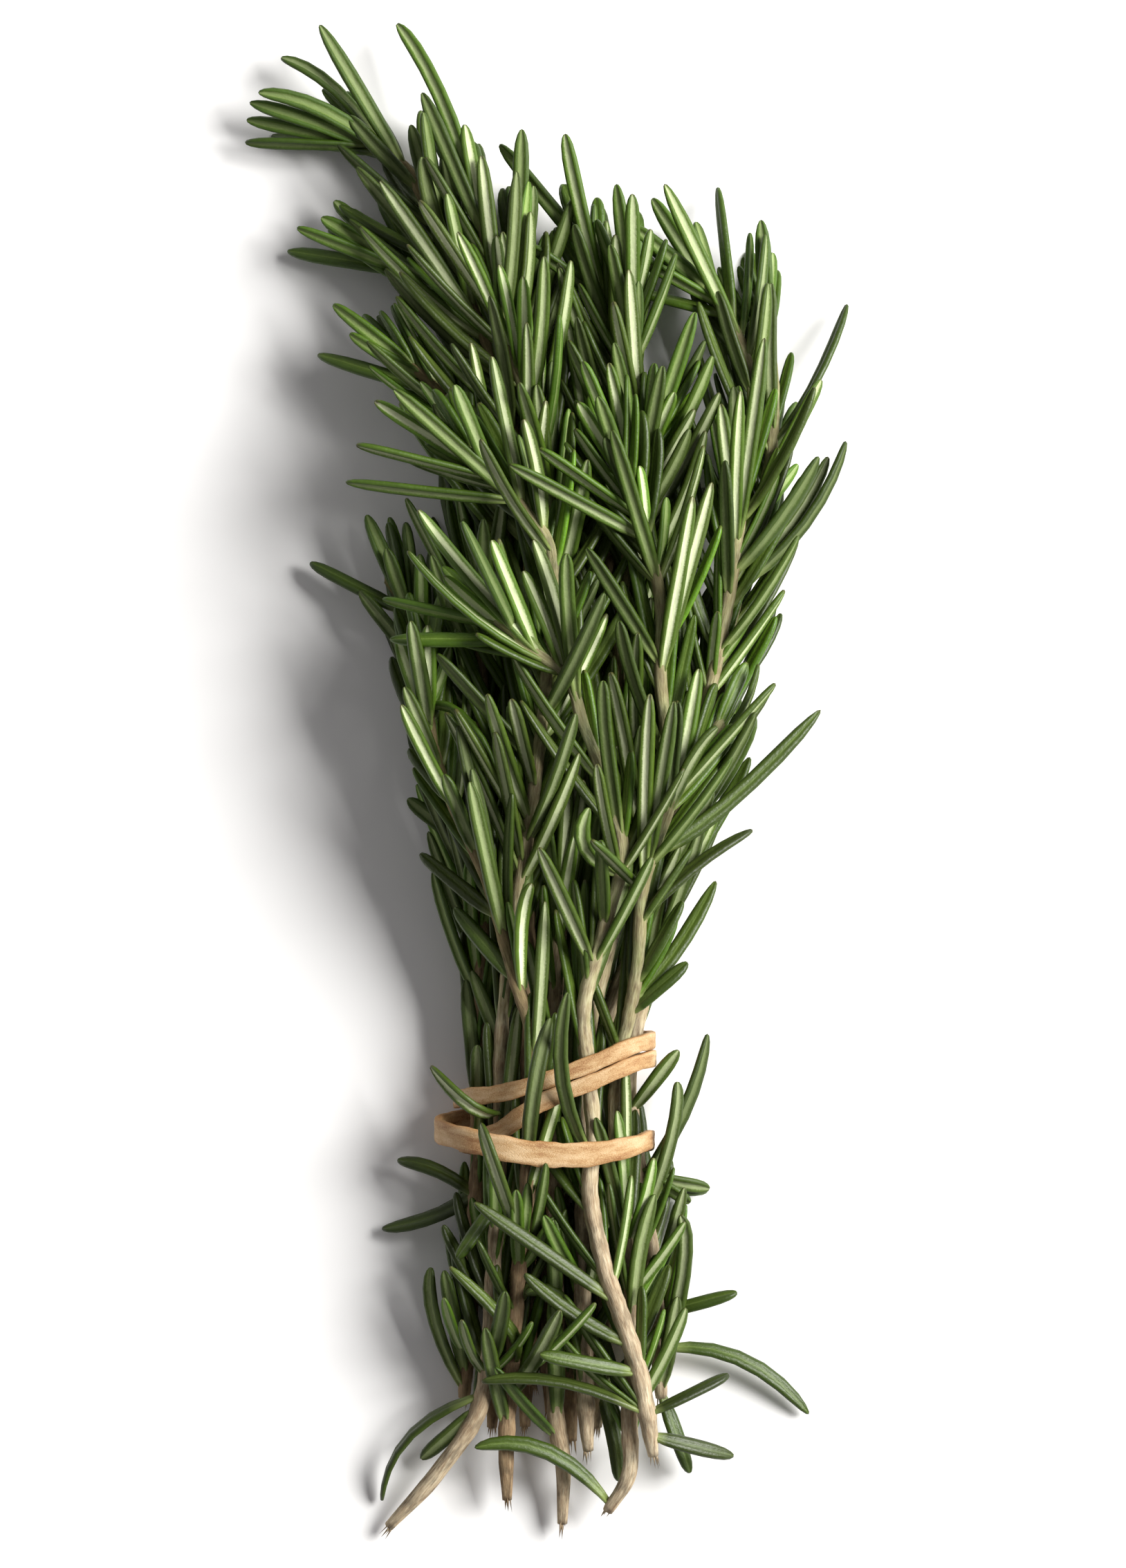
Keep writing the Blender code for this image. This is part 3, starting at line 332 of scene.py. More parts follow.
# Leaves with a place of their own, as tip (x, y, z) and a root near (x, y). Between the two, a bent one has
# a point on its way (x, y), some with z.
OWN_LEAVES = {
    "sprig_01": [
        ((-16, -39.3, 14.5), (-10.4, -44.8, 17.5), (-6.4, -46)), ((-20.8, 53.5, 30), (-4, 38.5)),
        ((-23.5, 52, 27), (-8, 42)), ((-26, 46, 28), (-8, 40.5)), ((-27.5, 41, 25), (-15, 39.5), (-5, 37.5)),
        ((-12.5, 54, 30), (-7, 42)), ((-7.5, 58, 30), (-2.5, 38)), ((-15, 17.5, 25), (0, 2.5)),
        ((-12.5, 10, 25), (-3, -8)), ((-13.8, 9.5, 23), (-9, 0), (-4, -13)), ((-7, 6.8, 25), (-3, -12)),
        ((-4.8, 11.3, 27), (-1.3, -1)), ((-5.8, -7, 19), (-5.2, -27)), ((-12.4, -66, 14), (-7.3, -58)),
        ((-17.5, -94.5, 3), (-9.8, -87)), ((-23, -100.5, 1.5), (-19, -91), (-10, -85))],
    "sprig_02": [
        ((-17.5, 37, 31), (-10, 27.5), (1, 16.5)), ((-19, 31.5, 28), (-10, 22.5), (0, 16)),
        ((-22.5, 25, 24), (-7, 21)), ((-21.5, 19.5, 21), (-4, 19)), ((-11.5, 35.3, 29), (-4, 19.5)),
        ((-7.5, 33, 27), (-1, 17.5)), ((-1.8, 33, 29), (1.5, 23.5), (5, 9)),
        ((2.8, 31, 28), (3, 23), (5, 10)), ((7.8, 13.8, 27), (8.3, 5), (10.2, -9)),
        ((5.9, -3.6, 25), (5.3, -9), (9.5, -13)), ((3.8, -13.5, 20), (6, -28)),
        ((3, -28.8, 20.8), (2.2, -41, 20.9), (6.1, -52)), ((-1, -9, 24), (6, -25)),
        ((7.5, -8, 26), (8.5, -20)), ((-9, -83, 14), (2, -83), (13.8, -88)), ((-1, -79, 17), (12.5, -82)),
        ((-10, -58, 18), (0, -65), (9.5, -72)), ((25.3, -82.3, 9), (14, -87.5)),
        ((26, -93.8, 7), (14.8, -91))],
    "sprig_03": [
        ((-20.5, 20, 17), (-16, 6)), ((-18.6, 22, 19), (-16, 7)), ((-16.3, 21.5, 20), (-16, 8)),
        ((-7, 1.5, 22), (-11.5, 9), (-16.5, 10)), ((-12.8, -17.5, 12), (-4.7, -28)),
        ((-14, 1, 24), (-10, -10)), ((-10.5, 0, 25), (-5.8, -22)), ((-19, 4.5, 12), (-13, -3)),
        ((-17.5, -10, 11), (-7, -19)), ((-2, -14, 22), (-3.5, -20), (-3.5, -30)),
        ((0.6, -32.5, 20), (-1.7, -42.6, 21.3), (-2.5, -53.5)),
        ((-9, -47, 20.6), (-6.8, -54, 20.8), (-3.4, -64)), ((-13.5, -67, 10), (-4.8, -76), (-4.7, -81))],
    "sprig_04": [
        ((37.9, 9.9, 14), (25, -3), (15, -10)), ((31.5, 13.5, 20), (18, -3)), ((17.5, 11, 27), (13.5, -13)),
        ((28.5, -6.7, 14), (20, -12), (13.3, -18.5)), ((23.5, -13.8, 10), (17.5, -24), (12, -30)),
        ((6.2, -8, 24), (13.2, -15)), ((19.5, -25, 15), (11.8, -32)),
        ((-10, -92.5, 6), (0, -93), (9, -100.5)), ((15, -57, 15), (12.7, -66), (12, -76)),
        ((14.2, 12, 26), (13.6, 0), (13.3, -14)), ((23.5, 7.5, 22), (20, 3), (16.5, -6)),
        ((21, 15.5, 22), (18, -1)), ((20, -9.2, 18), (14.2, -20)), ((18.8, -16.5, 17), (13, -28)),
        ((5.3, -24.8, 18), (9.7, -38)), ((10, -20, 19.5), (9.3, -29), (9.6, -41)),
        ((17, -67, 11), (12.5, -79))],
    "sprig_05": [
        ((39, 45, 11), (34, 36), (27.5, 29)), ((36.5, 43, 6.5), (33, 35), (26.5, 26)),
        ((28.7, 9.2, 15), (25.5, 2), (20.2, -6)), ((27.2, 15.7, 14), (21.8, 3)),
        ((22.7, -56.7, 5), (14, -55)), ((20, -58.5, 9), (13, -54)), ((26.5, -71, 8), (15.3, -74)),
        ((18.2, -71.5, 9), (15.8, -85)), ((41.9, 66.6, 3), (37, 55), (31.3, 47)),
        ((38.1, 55.8, 9), (30.5, 41)), ((41.4, 47.1, 8), (36, 36), (28, 27)), ((29.8, 78, 8), (31, 61)),
        ((22.3, -35, 10), (19, -46), (13, -56)), ((18, -41.5, 14), (17.3, -49, 12), (13.8, -61)),
        ((22.5, -57, 4), (13.5, -57)), ((18.5, -60, 9), (19, -68), (16, -82)),
        ((36.6, -88.4, 1.5), (27, -80.5), (15.6, -78.8)), ((20, -96.5, 3), (16, -85)),
        ((18.3, -37.2, 12.5), (11.8, -45.5))],
    "sprig_06": [
        ((16.3, 82.7, 12), (27, 61)), ((14.7, 81, 8), (22, 69.5)), ((12, 77, 10), (22.5, 68)),
        ((12.5, 72.5, 13), (24, 66.5)), ((13, 68, 7), (25, 64.5)), ((23.8, 82.8, 4), (26, 63)),
        ((30, 61, 20), (25.6, 33)), ((24.5, 44, 25), (24.5, 25)), ((25.8, 54.5, 19), (27.5, 36)),
        ((24, 52, 19), (26.5, 32)), ((29.2, 16.2, 17), (26, 8), (20.5, 4)),
        ((10, -97.5, 5), (9.3, -91), (7, -84))],
    "sprig_07": [
        ((-31.5, 105, 9), (-20, 86)), ((-37, 100.7, 5), (-29.5, 96.3), (-22, 87.5)),
        ((-40, 95.6, 9), (-31, 93.2), (-21, 87)), ((-41.8, 92.2, 4), (-25, 88.8)),
        ((-41.3, 94.4, 5.5), (-32, 91.5), (-24.5, 88.5)), ((-38.5, 90.2, 2), (-22.5, 87)),
        ((-23, 83, 15), (-9, 62.5)), ((-17.2, 86.2, 16), (-15.5, 78), (-11.5, 68)),
        ((-13.8, 81, 18), (-10, 65)), ((-42, 89, 1.5), (-24, 88.3)), ((-26.3, 85, 13), (-11, 67)),
        ((-18.8, 91, 11), (-13.5, 74))],
    "sprig_08": [
        ((-29.6, 80.8, 5), (-20, 72)), ((-31.3, 78.3, 7), (-20.5, 72.3)), ((-34.6, 76.8, 9), (-18, 70.3)),
        ((-36.2, 74, 2), (-19, 71)), ((-9.5, -36.5, 11), (-9.6, -44)), ((-11.2, -27.5, 8), (-9.3, -45)),
        ((-20.8, -52.8, 5), (-15, -54.2), (-10.1, -57.5)), ((-23, -62.5, 2), (-15, -60.3), (-9.8, -57)),
        ((-16, -67.5, 8), (-15.5, -75), (-11.4, -85)), ((-14.2, -67.8, 10), (-11.2, -83))],
    "sprig_09": [
        ((-3.4, 90.3, 12), (-3.8, 72)), ((-4.3, 82.3, 16), (-3.2, 60)), ((-6.2, 82.6, 6), (-3.6, 68))],
    "sprig_10": [
        ((2.6, 89.5, 14), (4.5, 80), (8.5, 64)), ((-6.5, 88.5, 8), (5, 73)), ((-2.4, 74.2, 14), (8, 67)),
        ((8.2, 77.8, 10), (9.4, 57)), ((2.6, 67, 15), (7.5, 30))],
    "sprig_11": [
        ((9.7, 82.5, 15), (12, 65)), ((8.8, 74, 18), (12.2, 57)), ((9.2, 66, 21), (12.5, 47)),
        ((11.3, 70.5, 19), (12.8, 49)), ((11.8, 80.8, 17), (12, 66))],
    "sprig_12": [
        ((5, 57.5, 26), (9.8, 44.5)), ((4.3, 51.8, 28), (11, 41)), ((7, 52.5, 29), (11.5, 39.5)),
        ((22.7, 41, 25), (16, 15)), ((8.8, 15, 23), (10.7, 6), (12.8, -8)),
        ((10, 22, 26), (12, 14), (16.3, 3)), ((-5, 43.2, 31), (13.5, 33.5)), ((-1, 45.5, 28), (12.8, 36)),
        ((20, 39, 27), (16, 14)), ((5.5, 32, 27), (15.6, 16)), ((9, 48, 29), (15.2, 27)),
        ((-3, -71, 13), (3, -73), (5.5, -87))],
    "sprig_13": [
        ((-19.3, -2.4, 8), (-11.8, -9)), ((-25, 37, 9), (-19.5, 24)), ((-33, 30.5, 3), (-19, 23)),
        ((-26, 26.5, 6), (-16, 14))],
    "sprig_14": [
        ((-10.4, -26.2, 13), (-4.6, -41)), ((-29.5, 66, 13), (-18, 57)), ((-31.8, 59.2, 9), (-15, 54))],
    "sprig_15": [
        ((8.6, 57.5, 22), (12.6, 40)), ((20.5, 64.5, 21), (14.3, 46)), ((16, 57, 24), (12.5, 39))],
    "sprig_16": [
        ((-1.3, 54.5, 23), (0.6, 36)), ((3, 0.5, 20), (2, -17)), ((-2.6, -22, 17), (0.8, -38)),
        ((1, -60.5, 15), (1.3, -74)), ((-9, 86.5, 14), (-7.2, 68)),
        ((-20.8, 105.4, 6), (-15.2, 96), (-10, 82)), ((-17.2, 95.3, 13), (-8.6, 75)),
        ((-11.4, 91, 12), (-9, 78)), ((-17.5, 80, 19), (-5.5, 62))],
}

# How far ruled leaves may reach to the left and right, at rows of y from the cut ends to the tips, and
# places where the table shows between the sprigs, as x, y and radius.
OUTLINE = [(-106, -6, 6), (-100, -19, 12), (-94, -18, 15), (-88, -16, 17), (-80, -16, 19), (-72, -16.5, 20),
           (-62, -15, 20), (-55, -12, 19), (-46, -10, 17), (-38, -10, 15), (-30, -11.5, 17), (-22, -13, 20),
           (-12, -16, 22), (-4, -18, 25), (4, -19, 29), (12, -20.5, 31), (20, -22.5, 32), (28, -23, 34),
           (36, -24, 36), (44, -26, 38), (50, -26, 37), (56, -26, 37), (62, -28, 36), (67, -24, 34),
           (72, -29, 32), (76, -34, 31), (79, -31, 14), (82, -26, 5), (86, -31, -5), (90, -38, -9),
           (95, -36, -13), (100, -28, -18), (105, -22, -20)]
OPEN_PLACES = [(17, 62, 4.5), (18, 56, 2.5), (24.5, 75.5, 3), (35, 64, 4), (37, 57, 2.5), (36, 50, 2),
               (0.5, 80.5, 3), (-7, 85, 2.5), (-28, 84, 4), (-26, 69, 3.5), (-22.5, 99, 4.5),
               (-20.5, 94, 3), (-18, 90.5, 1.5), (-13.5, 97, 3.5), (-10.5, 92, 2.5), (-31, 99.5, 1.5)]

# The band's middle line, as x, y, z and the strip's width. It passes the front three times, and under the
# bundle it lies flat on the table.
BAND_POINTS = [
    (9.5, -35.6, 1.8, 2.1), (13.6, -35.8, 5.5, 2.2), (14.5, -35.9, 11, 2.3), (11.6, -36.6, 15.9, 2.3),
    (6.5, -38.8, 17.7, 2.3), (0, -41.2, 17.6, 2.3), (-6, -43, 15.8, 2.4), (-10.6, -43.7, 12.2, 2.5),
    (-12.4, -44.1, 8, 2.5), (-11.2, -44.1, 3.2, 2.4), (-7, -43.2, 0.55, 2.4), (-2, -42.2, 0.55, 2.4),
    (4, -41, 0.55, 2.4), (9.5, -39.6, 1.3, 2.4), (13.7, -38.8, 5.5, 2.2), (14.6, -38.4, 11, 2.3),
    (11.5, -39.2, 15.9, 2.2), (6.3, -41.45, 17.7, 2.2), (1, -43.5, 17.7, 2.4), (-2.6, -45.5, 16.9, 2.5),
    (-6.2, -48.2, 14.9, 2.6), (-9.6, -49.7, 11.8, 2.6), (-11.6, -50.2, 7.8, 2.6), (-10.6, -50.6, 3.2, 2.7),
    (-7, -51.4, 0.55, 2.8), (-1, -51.4, 0.55, 2.8), (5, -51.2, 0.55, 2.8), (10, -51, 1.2, 2.8),
    (13.8, -50.2, 5.5, 2.7), (14.3, -49.6, 10.5, 2.5), (11.6, -50.4, 15.9, 2.8), (5.5, -51.4, 18.5, 3.4),
    (-1, -51.3, 19.2, 3.5), (-7, -50.3, 18.6, 3.4), (-12, -49.2, 15.4, 3.3), (-15, -48.4, 9.8, 3.1),
    (-13.4, -47.4, 4.2, 2.7), (-8.5, -46.4, 1.8, 2.2), (-2, -44, 1.8, 2.1), (4, -38.6, 1.8, 2.1),
]


def spline_point(before, start, end, after, t):
    """A Catmull-Rom point between start and end."""
    return 0.5 * (
        2 * start
        + (end - before) * t
        + (2 * before - 5 * start + 4 * end - after) * t * t
        + (3 * start - before - 3 * end + after) * t * t * t
    )


def smooth_route(points):
    """Points about ROUTE_STEP apart on a smooth curve through the given ones."""
    knots = [Vector(p) for p in points]
    knots = [2 * knots[0] - knots[1]] + knots + [2 * knots[-1] - knots[-2]]
    route = []
    for i in range(1, len(knots) - 2):
        count = max(1, round((knots[i + 1] - knots[i]).length / ROUTE_STEP))
        for k in range(count):
            route.append(spline_point(*knots[i - 1:i + 3], k / count))
    route.append(knots[-2].copy())
    return route


def direction_at(route, i):
    """The unit direction of a route at one of its points."""
    return (route[min(i + 1, len(route) - 1)] - route[max(i - 1, 0)]).normalized()


def nearest(route, x, y):
    """The index of the route's point nearest to (x, y) in plan."""
    return min(range(len(route)), key=lambda i: (route[i].x - x) ** 2 + (route[i].y - y) ** 2)


def root_place(route, leaf):
    """The index of the route's point that a leaf grows from."""
    return min(range(len(route)), key=lambda i: (route[i] - leaf["line"][0]).length)


def ring_faces(rings, count, closed=False):
    """The faces of a skin over rings of equal count. A closed skin comes back to its first ring."""
    faces = []
    for r in range(rings if closed else rings - 1):
        here, ahead = r * count, (r + 1) % rings * count
        for k in range(count):
            beside = (k + 1) % count
            faces.append((here + k, here + beside, ahead + beside, ahead + k))
    return faces


def tip_faces(last, count, tip):
    """The faces from the last ring, whose points start at last, to a tip point."""
    return [(last + k, last + (k + 1) % count, tip) for k in range(count)]


def loft(rings, tip=None):
    """Points and faces of a closed skin over rings of equal count, ended by a cap or by a tip point."""
    count = len(rings[0])
    points = [p for ring in rings for p in ring]
    faces = [tuple(reversed(range(count)))] + ring_faces(len(rings), count)
    last = (len(rings) - 1) * count
    if tip is None:
        faces.append(tuple(range(last, last + count)))
    else:
        points.append(tip)
        faces += tip_faces(last, count, len(points) - 1)
    return points, faces


def stem_radius(share):
    """The stem's radius at a share of the way from its cut end, where it is thinner, to its tip."""
    cut = CUT_SHARE + (1 - CUT_SHARE) * min(1.0, share / CUT_REACH)
    return cut * (STEM_FOOT_RADIUS + (STEM_TIP_RADIUS - STEM_FOOT_RADIUS) * share)


def ring_places(route):
    """The route's points that carry a ring of the stem, closer together where it bends."""
    places = [0]
    for i in range(RING_LEAST, len(route) - RING_LEAST):
        passed = i - places[-1]
        turned = direction_at(route, i).angle(direction_at(route, places[-1]))
        if passed >= RING_MOST or (passed >= RING_LEAST and turned > RING_TURN):
            places.append(i)
    return places + [len(route) - 1]


def stem_solid(route):
    """A tapered tube along the route."""
    rings = []
    for i in ring_places(route):
        along = direction_at(route, i)
        across = along.cross(Vector((0, 0, 1))).normalized()
        up = across.cross(along)
        radius = stem_radius(i / (len(route) - 1))
        angles = [2 * math.pi * k / STEM_SIDES for k in range(STEM_SIDES)]
        rings.append([route[i] + radius * (math.cos(a) * up + math.sin(a) * across) for a in angles])
    return loft(rings)


def leaf_point(leaf, t):
    """A point on the leaf's middle line, from its root at 0 to its tip at 1."""
    root, bow, tip = leaf["line"]
    return (1 - t) ** 2 * root + 2 * t * (1 - t) * bow + t * t * tip


def leaf_ring(leaf, t, grow=0.0):
    """The three corners of the leaf at t: two margins and the ridge of its upper face."""
    root, bow, tip = leaf["line"]
    along = ((1 - t) * (bow - root) + t * (tip - bow)).normalized()
    face = (leaf["face"] - leaf["face"].dot(along) * along).normalized()
    side = along.cross(face)
    half = leaf["width"] / 2 + grow
    thick = LEAF_THICKNESS + 2 * grow
    middle = leaf_point(leaf, t)
    low = middle - UNDER_SHARE * thick * face
    return [low + half * side, middle + (1 - UNDER_SHARE) * thick * face, low - half * side]


def needle(leaf):
    """The leaf as a three-sided spindle: a point in the stem, one ring at its belly and its tip."""
    points = [leaf["line"][0]] + leaf_ring(leaf, LEAF_BELLY) + [leaf["line"][2]]
    faces = [(0, 2, 1), (0, 3, 2), (0, 1, 3), (4, 1, 2), (4, 2, 3), (4, 3, 1)]
    return points, faces


def leaf_guard(leaf, shares, grow):
    """The leaf with a ring at each share and its tip, grown by the room that it keeps."""
    root, bow, tip = leaf["line"]
    return loft([leaf_ring(leaf, t, grow) for t in shares], tip + grow * (tip - bow).normalized())


def lift_to_table(leaf):
    """Raises a leaf that would dip below the table until it lies on it."""
    for _ in range(3):
        low = min(p.z for p in leaf_ring(leaf, LEAF_BELLY))
        root, bow, tip = leaf["line"]
        if low < 0:
            rise = -low / (1 - (1 - LEAF_BELLY) ** 2)
            bow.z += rise
            tip.z += rise
        tip.z = max(tip.z, 0)


def make_leaf(root, bow, tip, face, width):
    """A leaf from its middle line, the way its upper face looks, and its width."""
    leaf = {"line": (root.copy(), bow.copy(), tip.copy()), "face": face, "width": width}
    lift_to_table(leaf)
    return leaf


def faces_of_leaf(along, out, lean):
    """The direction of a leaf that leans from its stem, and of its upper face, which looks at the stem."""
    direction = math.cos(lean) * along + math.sin(lean) * out
    face = math.sin(lean) * along - math.cos(lean) * out
    return direction, face


def turned_up(face, looks_up, weight):
    """A leaf's face turned on its short stalk, so that its upper or its lower face looks up more."""
    return (face + Vector((0, 0, weight if looks_up else -weight))).normalized()


def own_leaf(route, tip, middle, root, lift, roll):
    """A listed leaf, with its tip raised by a lift and its face rolled a little."""
    i = nearest(route, *root)
    start = route[i]
    end = Vector(tip) + Vector((0, 0, lift))
    bow = (start + end) / 2 + Vector((0, 0, OWN_RISE))
    for x, y, *height in middle:
        bow.xy = 2 * Vector((x, y)) - (start + end).xy / 2
        if height:
            bow.z = 2 * height[0] - (start + end).z / 2
    along = direction_at(route, i)
    out = end - start
    out = (out - out.dot(along) * along).normalized()
    face = faces_of_leaf(along, out, max(OWN_LEAST_LEAN, along.angle(end - start)))[1]
    hangs = start.y < BAND_ZONE[0] or end.z < start.z - OWN_HANGS
    looks_up = face.z > OWN_FACE_UP or face.z > -OWN_FACE_UP and hangs
    face = turned_up(face, looks_up, OWN_TURN)
    face = (face + roll * face.cross((end - start).normalized())).normalized()
    return make_leaf(start, bow, end, face, LEAF_WIDTH)


def ruled_leaf(draw, route, i, turn, length, lean, loose):
    """A leaf placed by the rule at a route's point, turned round the stem."""
    along = direction_at(route, i)
    across = along.cross(Vector((0, 0, 1))).normalized()
    up = across.cross(along)
    turn += draw.uniform(-1, 1) * (TURN_STRAY + LOOSE_TURN * loose)
    lean *= draw.uniform(1 - LOOSE_LEAN[0] * loose, 1 + LOOSE_LEAN[1] * loose)
    length *= draw.uniform(LENGTH_SPREAD[0] - LOOSE_SHORTER * loose, LENGTH_SPREAD[1])
    out = math.cos(turn) * up + math.sin(turn) * across
    first = faces_of_leaf(along, out, lean * ROOT_LEAN)[0]
    later, face = faces_of_leaf(along, out, lean * draw.uniform(*OUTER_LEAN))
    bow = route[i] + 0.5 * length * first
    tip = bow + 0.5 * length * later + draw.uniform(-SIDE_BEND, SIDE_BEND) * length * face.cross(later)
    face = (face + draw.uniform(-RULED_ROLL, RULED_ROLL) * face.cross(later)).normalized()
    face = turned_up(face, face.z > 0, RULED_TURN)
    return make_leaf(route[i], bow, tip, face, LEAF_WIDTH * draw.uniform(*WIDTH_SPREAD))


def in_outline(point):
    """True where a point in plan is within the bundle's outline and out of its open places."""
    if any(math.hypot(point.x - x, point.y - y) < radius for x, y, radius in OPEN_PLACES):
        return False
    for (low, left, right), (high, left_2, right_2) in zip(OUTLINE, OUTLINE[1:]):
        if low <= point.y <= high:
            share = (point.y - low) / (high - low)
            return left + share * (left_2 - left) < point.x < right + share * (right_2 - right)
    return False


def ruled_tries(draw, route, i, turn, share, lean, tries, slim=1.0):
    """Ever looser tries for one leaf, each within the bundle's outline."""
    for attempt in range(tries):
        leaf = ruled_leaf(draw, route, i, turn, LEAF_LENGTH * share, lean, attempt / tries)
        leaf["width"] *= slim
        if all(in_outline(leaf_point(leaf, t)) for t in OUTLINE_SHARES):
            yield leaf


def leaf_places(draw, route):
    """Nodes along a stem: the route's index, a share of full length and a lean from the stem."""
    last = len(route) - 1
    places = []
    i = FOOT_BARE
    while i < last - 1:
        y = route[round(i)].y
        to_tip = last - i
        if y < BAND_ZONE[0]:
            pitch, share, lean = LOW_PITCH, LOW_SHARE, draw.uniform(*LOW_LEAN)
        elif y < BAND_ZONE[1]:
            pitch, share, lean = BAND_PITCH, 1.0, draw.uniform(*BAND_LEAN)
        else:
            pitch = TIP_PITCH if to_tip < TIP_REACH else HIGH_PITCH
            share = TIP_SHARE + (1 - TIP_SHARE) * min(1.0, to_tip / SHARE_REACH)
            lean = TIP_LEAN + (FULL_LEAN - TIP_LEAN) * min(1.0, to_tip / LEAN_REACH)
            lean *= min(1.0, OPENING_SHARE + (1 - OPENING_SHARE) * (y - BAND_ZONE[1]) / OPENING)
        if y > FIRST_LEAF_Y:
            places.append((round(i), share, lean))
        i += pitch * draw.uniform(*PITCH_SPREAD)
    places.append((last - 1, LAST_SHARE, LAST_LEAN))
    return places


def extra_places(draw, route):
    """Where more leaves grow: the route's index, a share of full length and a lean."""
    last = len(route) - 1
    i = FOOT_BARE
    while i < last - 1:
        y = route[round(i)].y
        low = y < BAND_ZONE[0]
        lean = draw.uniform(*(EXTRA_LOW_LEAN if low else EXTRA_LEAN))
        share = draw.uniform(*EXTRA_SHARE)
        share *= EXTRA_TIP_SHARE + (1 - EXTRA_TIP_SHARE) * min(1.0, (last - i) / SHARE_REACH)
        if BAND_ZONE[0] < y < BAND_ZONE[1]:
            lean = draw.uniform(*BAND_LEAN)
        if y > FIRST_LEAF_Y:
            yield round(i), share, lean
        i += (EXTRA_LOW_PITCH if low else EXTRA_PITCH) * draw.uniform(*EXTRA_UNEVEN)


def left_out(draw, name, y, turn):
    """True for a ruled leaf that would hide a bare stretch of stem, and for some other front leaves."""
    front = math.cos(turn)
    if any(low < y < high for low, high in BARE.get(name, [])) and front > BARE_FRONT:
        return True
    return front > FRONT and draw.random() > FRONT_SHARE


def lay_out():
    """Each sprig's route and leaves, all clear of each other and of the band, and the crowd of them all."""
    routes = {name: smooth_route(points) for name, points in ROUTES.items()}
    leaves = {name: [] for name in ROUTES}
    crowd = Crowd()
    crowd.add("rubber_band", "band", band_solid())
    for name, route in routes.items():
        crowd.add(name, "stem", stem_solid(route))
    draw = random.Random(SEED)
    for name, chosen in OWN_LEAVES.items():
        for tip, *middle, root in chosen:
            roll = draw.uniform(-OWN_ROLL, OWN_ROLL)
            tries = (own_leaf(routes[name], tip, middle, root, lift, roll) for lift in LIFTS)
            crowd.take_first_free(name, leaves[name], tries)
    for name, route in routes.items():
        first_turn = draw.uniform(0, math.pi)
        for k, (i, share, lean) in enumerate(leaf_places(draw, route)):
            for opposite in (0, math.pi):
                turn = first_turn + k * math.pi / 2 + opposite
                if left_out(draw, name, route[i].y, turn):
                    continue
                tries = ruled_tries(draw, route, i, turn, share, lean, TRIES)
                crowd.take_first_free(name, leaves[name], tries)
    return routes, leaves, crowd


def add_extras(routes, leaves, crowd):
    """Grows the further leaves where there is room, and notes how fresh each leaf is."""
    draw = random.Random(EXTRA_SEED)
    for name, route in routes.items():
        for leaf in leaves[name]:
            near_tip = max(0.0, 1 - (len(route) - 1 - root_place(route, leaf)) / TIP_FRESH_REACH)
            leaf["fresh"] = draw.uniform(0.0, FRESH) + TIP_FRESH * near_tip ** TIP_FRESH_FALL
    placed = 0
    for name, route in routes.items():
        for i, share, lean in extra_places(draw, route):
            start = draw.uniform(0, 2 * math.pi)
            for k in range(EXTRA_ROUND):
                if placed >= EXTRA_MOST:
                    return
                turn = start + k * 2 * math.pi / EXTRA_ROUND
                in_front = name in EXTRA_LESS and math.cos(turn) > EXTRA_FRONT
                if left_out(draw, name, route[i].y, turn) or (in_front and route[i].y > BAND_ZONE[0]):
                    continue
                slim = EXTRA_SLIM + EXTRA_BROADER * share
                tries = ruled_tries(draw, route, i, turn, share, lean, EXTRA_TRIES, slim)
                if crowd.take_first_free(name, leaves[name], tries, closer=True):
                    leaves[name][-1]["fresh"] = draw.uniform(*EXTRA_FRESH)
                    placed += 1


def band_frames(per_span):
    """Places along the band: its middle, the ways across the strip and outwards from it, and its width."""
    knots = [Vector(p) for p in BAND_POINTS]
    line = []
    for i in range(len(knots)):
        around = [knots[(i + j - 1) % len(knots)] for j in range(4)]
        line += [spline_point(*around, k / per_span) for k in range(per_span)]
    frames = []
    for i, here in enumerate(line):
        ahead, behind = line[(i + 1) % len(line)], line[i - 1]
        middle = Vector(here[:3])
        middle.z = max(middle.z, BAND_THICKNESS / 2)
        along = Vector(ahead[:3]) - Vector(behind[:3])
        if middle.z < BAND_THICKNESS / 2 + 0.001:
            along.z = 0
        along.normalize()
        outward = along.cross(Vector((0, 1, 0))).normalized()
        radial = Vector((middle.x - BAND_CENTRE[0], 0, middle.z - BAND_CENTRE[1]))
        if outward.dot(radial) < 0:
            outward = -outward
        frames.append((middle, along.cross(outward), outward, here[3]))
    return frames


def band_solid():
    """The closed strip: a flat section that follows the band's middle line and faces outwards."""
    rings = []
    for middle, side, outward, width in band_frames(BAND_RINGS_PER_SPAN):
        wide, thick = width / 2, BAND_THICKNESS / 2
        rings.append([middle + a * wide * side + b * thick * outward
                      for a, b in ((1, 1), (-1, 1), (-1, -1), (1, -1))])
    return [p for ring in rings for p in ring], ring_faces(len(rings), 4, closed=True)


